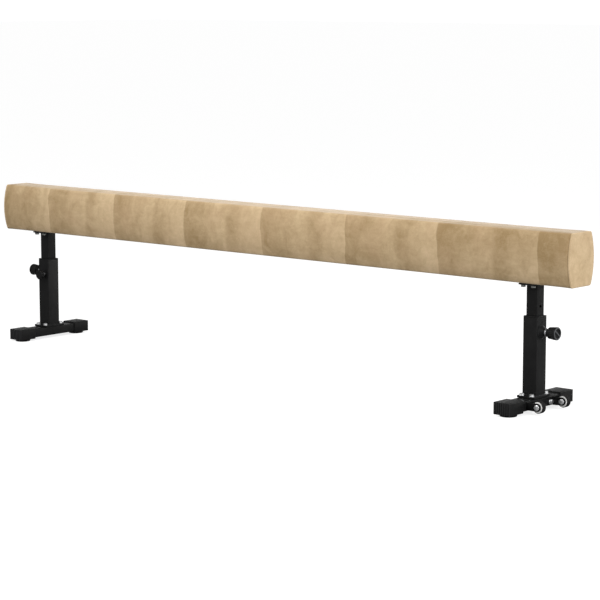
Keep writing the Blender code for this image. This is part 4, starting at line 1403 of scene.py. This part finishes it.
CAMERA_PLACE = (4.7578, -5.2970, 1.2403)
CAMERA_YAW = 41.1
CAMERA_PITCH = 8.07
CAMERA_LENS = 131.94
SENSOR_WIDTH = 36.0
FLOOR_HALF_WIDTH = 60.0
FLOOR_ALBEDO = 0.35
FLOOR_LIFT = 0.78
HORIZON_LIGHT = 0.40
ZENITH_LIGHT = 0.85
BEHIND = (-0.65, 0.76, 0.0)
BEHIND_SHARE = 0.25
SKYLINE_GLOW = 1.6
WHITE = (1.0, 1.0, 1.0)
WARM_WHITE = (1.0, 0.985, 0.96)

# Each light's place, the point that it faces, its width, its power and its colour.
LIGHTS = {
    "key": ((-0.25, -2.5, 2.4), (-0.25, 0.0, 0.5), 1.6, 62.0, WARM_WHITE),
    "side": ((4.6, -0.5, 1.7), (1.2, 0.0, 0.45), 2.0, 110.0, WHITE),
    "top": ((-0.3, 0.2, 3.6), (-0.3, 0.0, 0.5), 2.4, 27.0, WHITE),
    "back": ((1.7, 3.4, 0.9), (0.1, 0.0, 0.4), 1.2, 36.0, WARM_WHITE),
}


def build_camera():
    """The camera, looking down at the beam from its front right."""
    data = bpy.data.cameras.new("camera")
    data.lens = CAMERA_LENS
    data.sensor_width = SENSOR_WIDTH
    camera = link("camera", data)
    camera.location = CAMERA_PLACE
    camera.rotation_euler = (math.radians(90 - CAMERA_PITCH), 0.0, math.radians(CAMERA_YAW))
    bpy.context.scene.camera = camera


def build_floor():
    """Pale floor. What the camera sees of it is lifted towards white, as a studio sweep is."""
    shape = bmesh.new()
    bmesh.ops.create_grid(shape, x_segments=1, y_segments=1, size=FLOOR_HALF_WIDTH)
    mesh = written(shape, bpy.data.meshes.new("floor"))
    made, tree, shader = new_material("pale_floor")
    lift = maths(tree, "MULTIPLY", seen_by_camera(tree), FLOOR_LIFT)
    fill(tree, shader, Base_Color=(FLOOR_ALBEDO, FLOOR_ALBEDO, FLOOR_ALBEDO, 1.0), Roughness=0.9,
         Specular_IOR_Level=0.0, Emission_Color=(*WHITE, 1.0), Emission_Strength=lift)
    mesh.materials.append(made)
    link("floor", mesh)


def build_world():
    """A soft surround: bright overhead, dim behind the beam but for a glow low down, which the
    upper faces of the black parts mirror. The camera itself sees plain white."""
    world = bpy.data.worlds.new("studio")
    world.use_nodes = True
    tree = world.node_tree
    direction = node(tree, "TexCoord").outputs["Generated"]
    height = node(tree, "SeparateXYZ", None, Vector=direction).outputs["Z"]
    strength = spread(tree, height, 0.0, 1.0, HORIZON_LIGHT, ZENITH_LIGHT)
    behind = dot(tree, direction, BEHIND)
    dimmed = spread(tree, behind, 0.0, 0.9, 1.0, BEHIND_SHARE)
    strength = maths(tree, "MULTIPLY", strength, dimmed)
    glow = spread(tree, behind, 0.86, 0.97, 0.0, SKYLINE_GLOW)
    low = spread(tree, height, 0.10, 0.28, 1.0, 0.0)
    strength = maths(tree, "ADD", strength, maths(tree, "MULTIPLY", glow, low))
    strength = maths(tree, "MAXIMUM", strength, seen_by_camera(tree))
    fill(tree, tree.nodes["Background"], Color=(*WHITE, 1.0), Strength=strength)
    bpy.context.scene.world = world


def build_lights():
    """Square soft lights."""
    for name, (place, target, size, power, colour) in LIGHTS.items():
        data = bpy.data.lights.new(name, "AREA")
        data.size = size
        data.energy = power
        data.color = colour
        light = link(name, data)
        light.location = place
        aim = Vector(target) - Vector(place)
        light.rotation_euler = aim.to_track_quat("-Z", "Y").to_euler()


build_cover()
for panel_side in STANDS:
    build_end_panel(panel_side)
build_stitches()
build_stands()
build_wheels()
finish_inner_nodes()
build_camera()
build_floor()
build_world()
build_lights()
bpy.context.scene.view_settings.view_transform = "Standard"
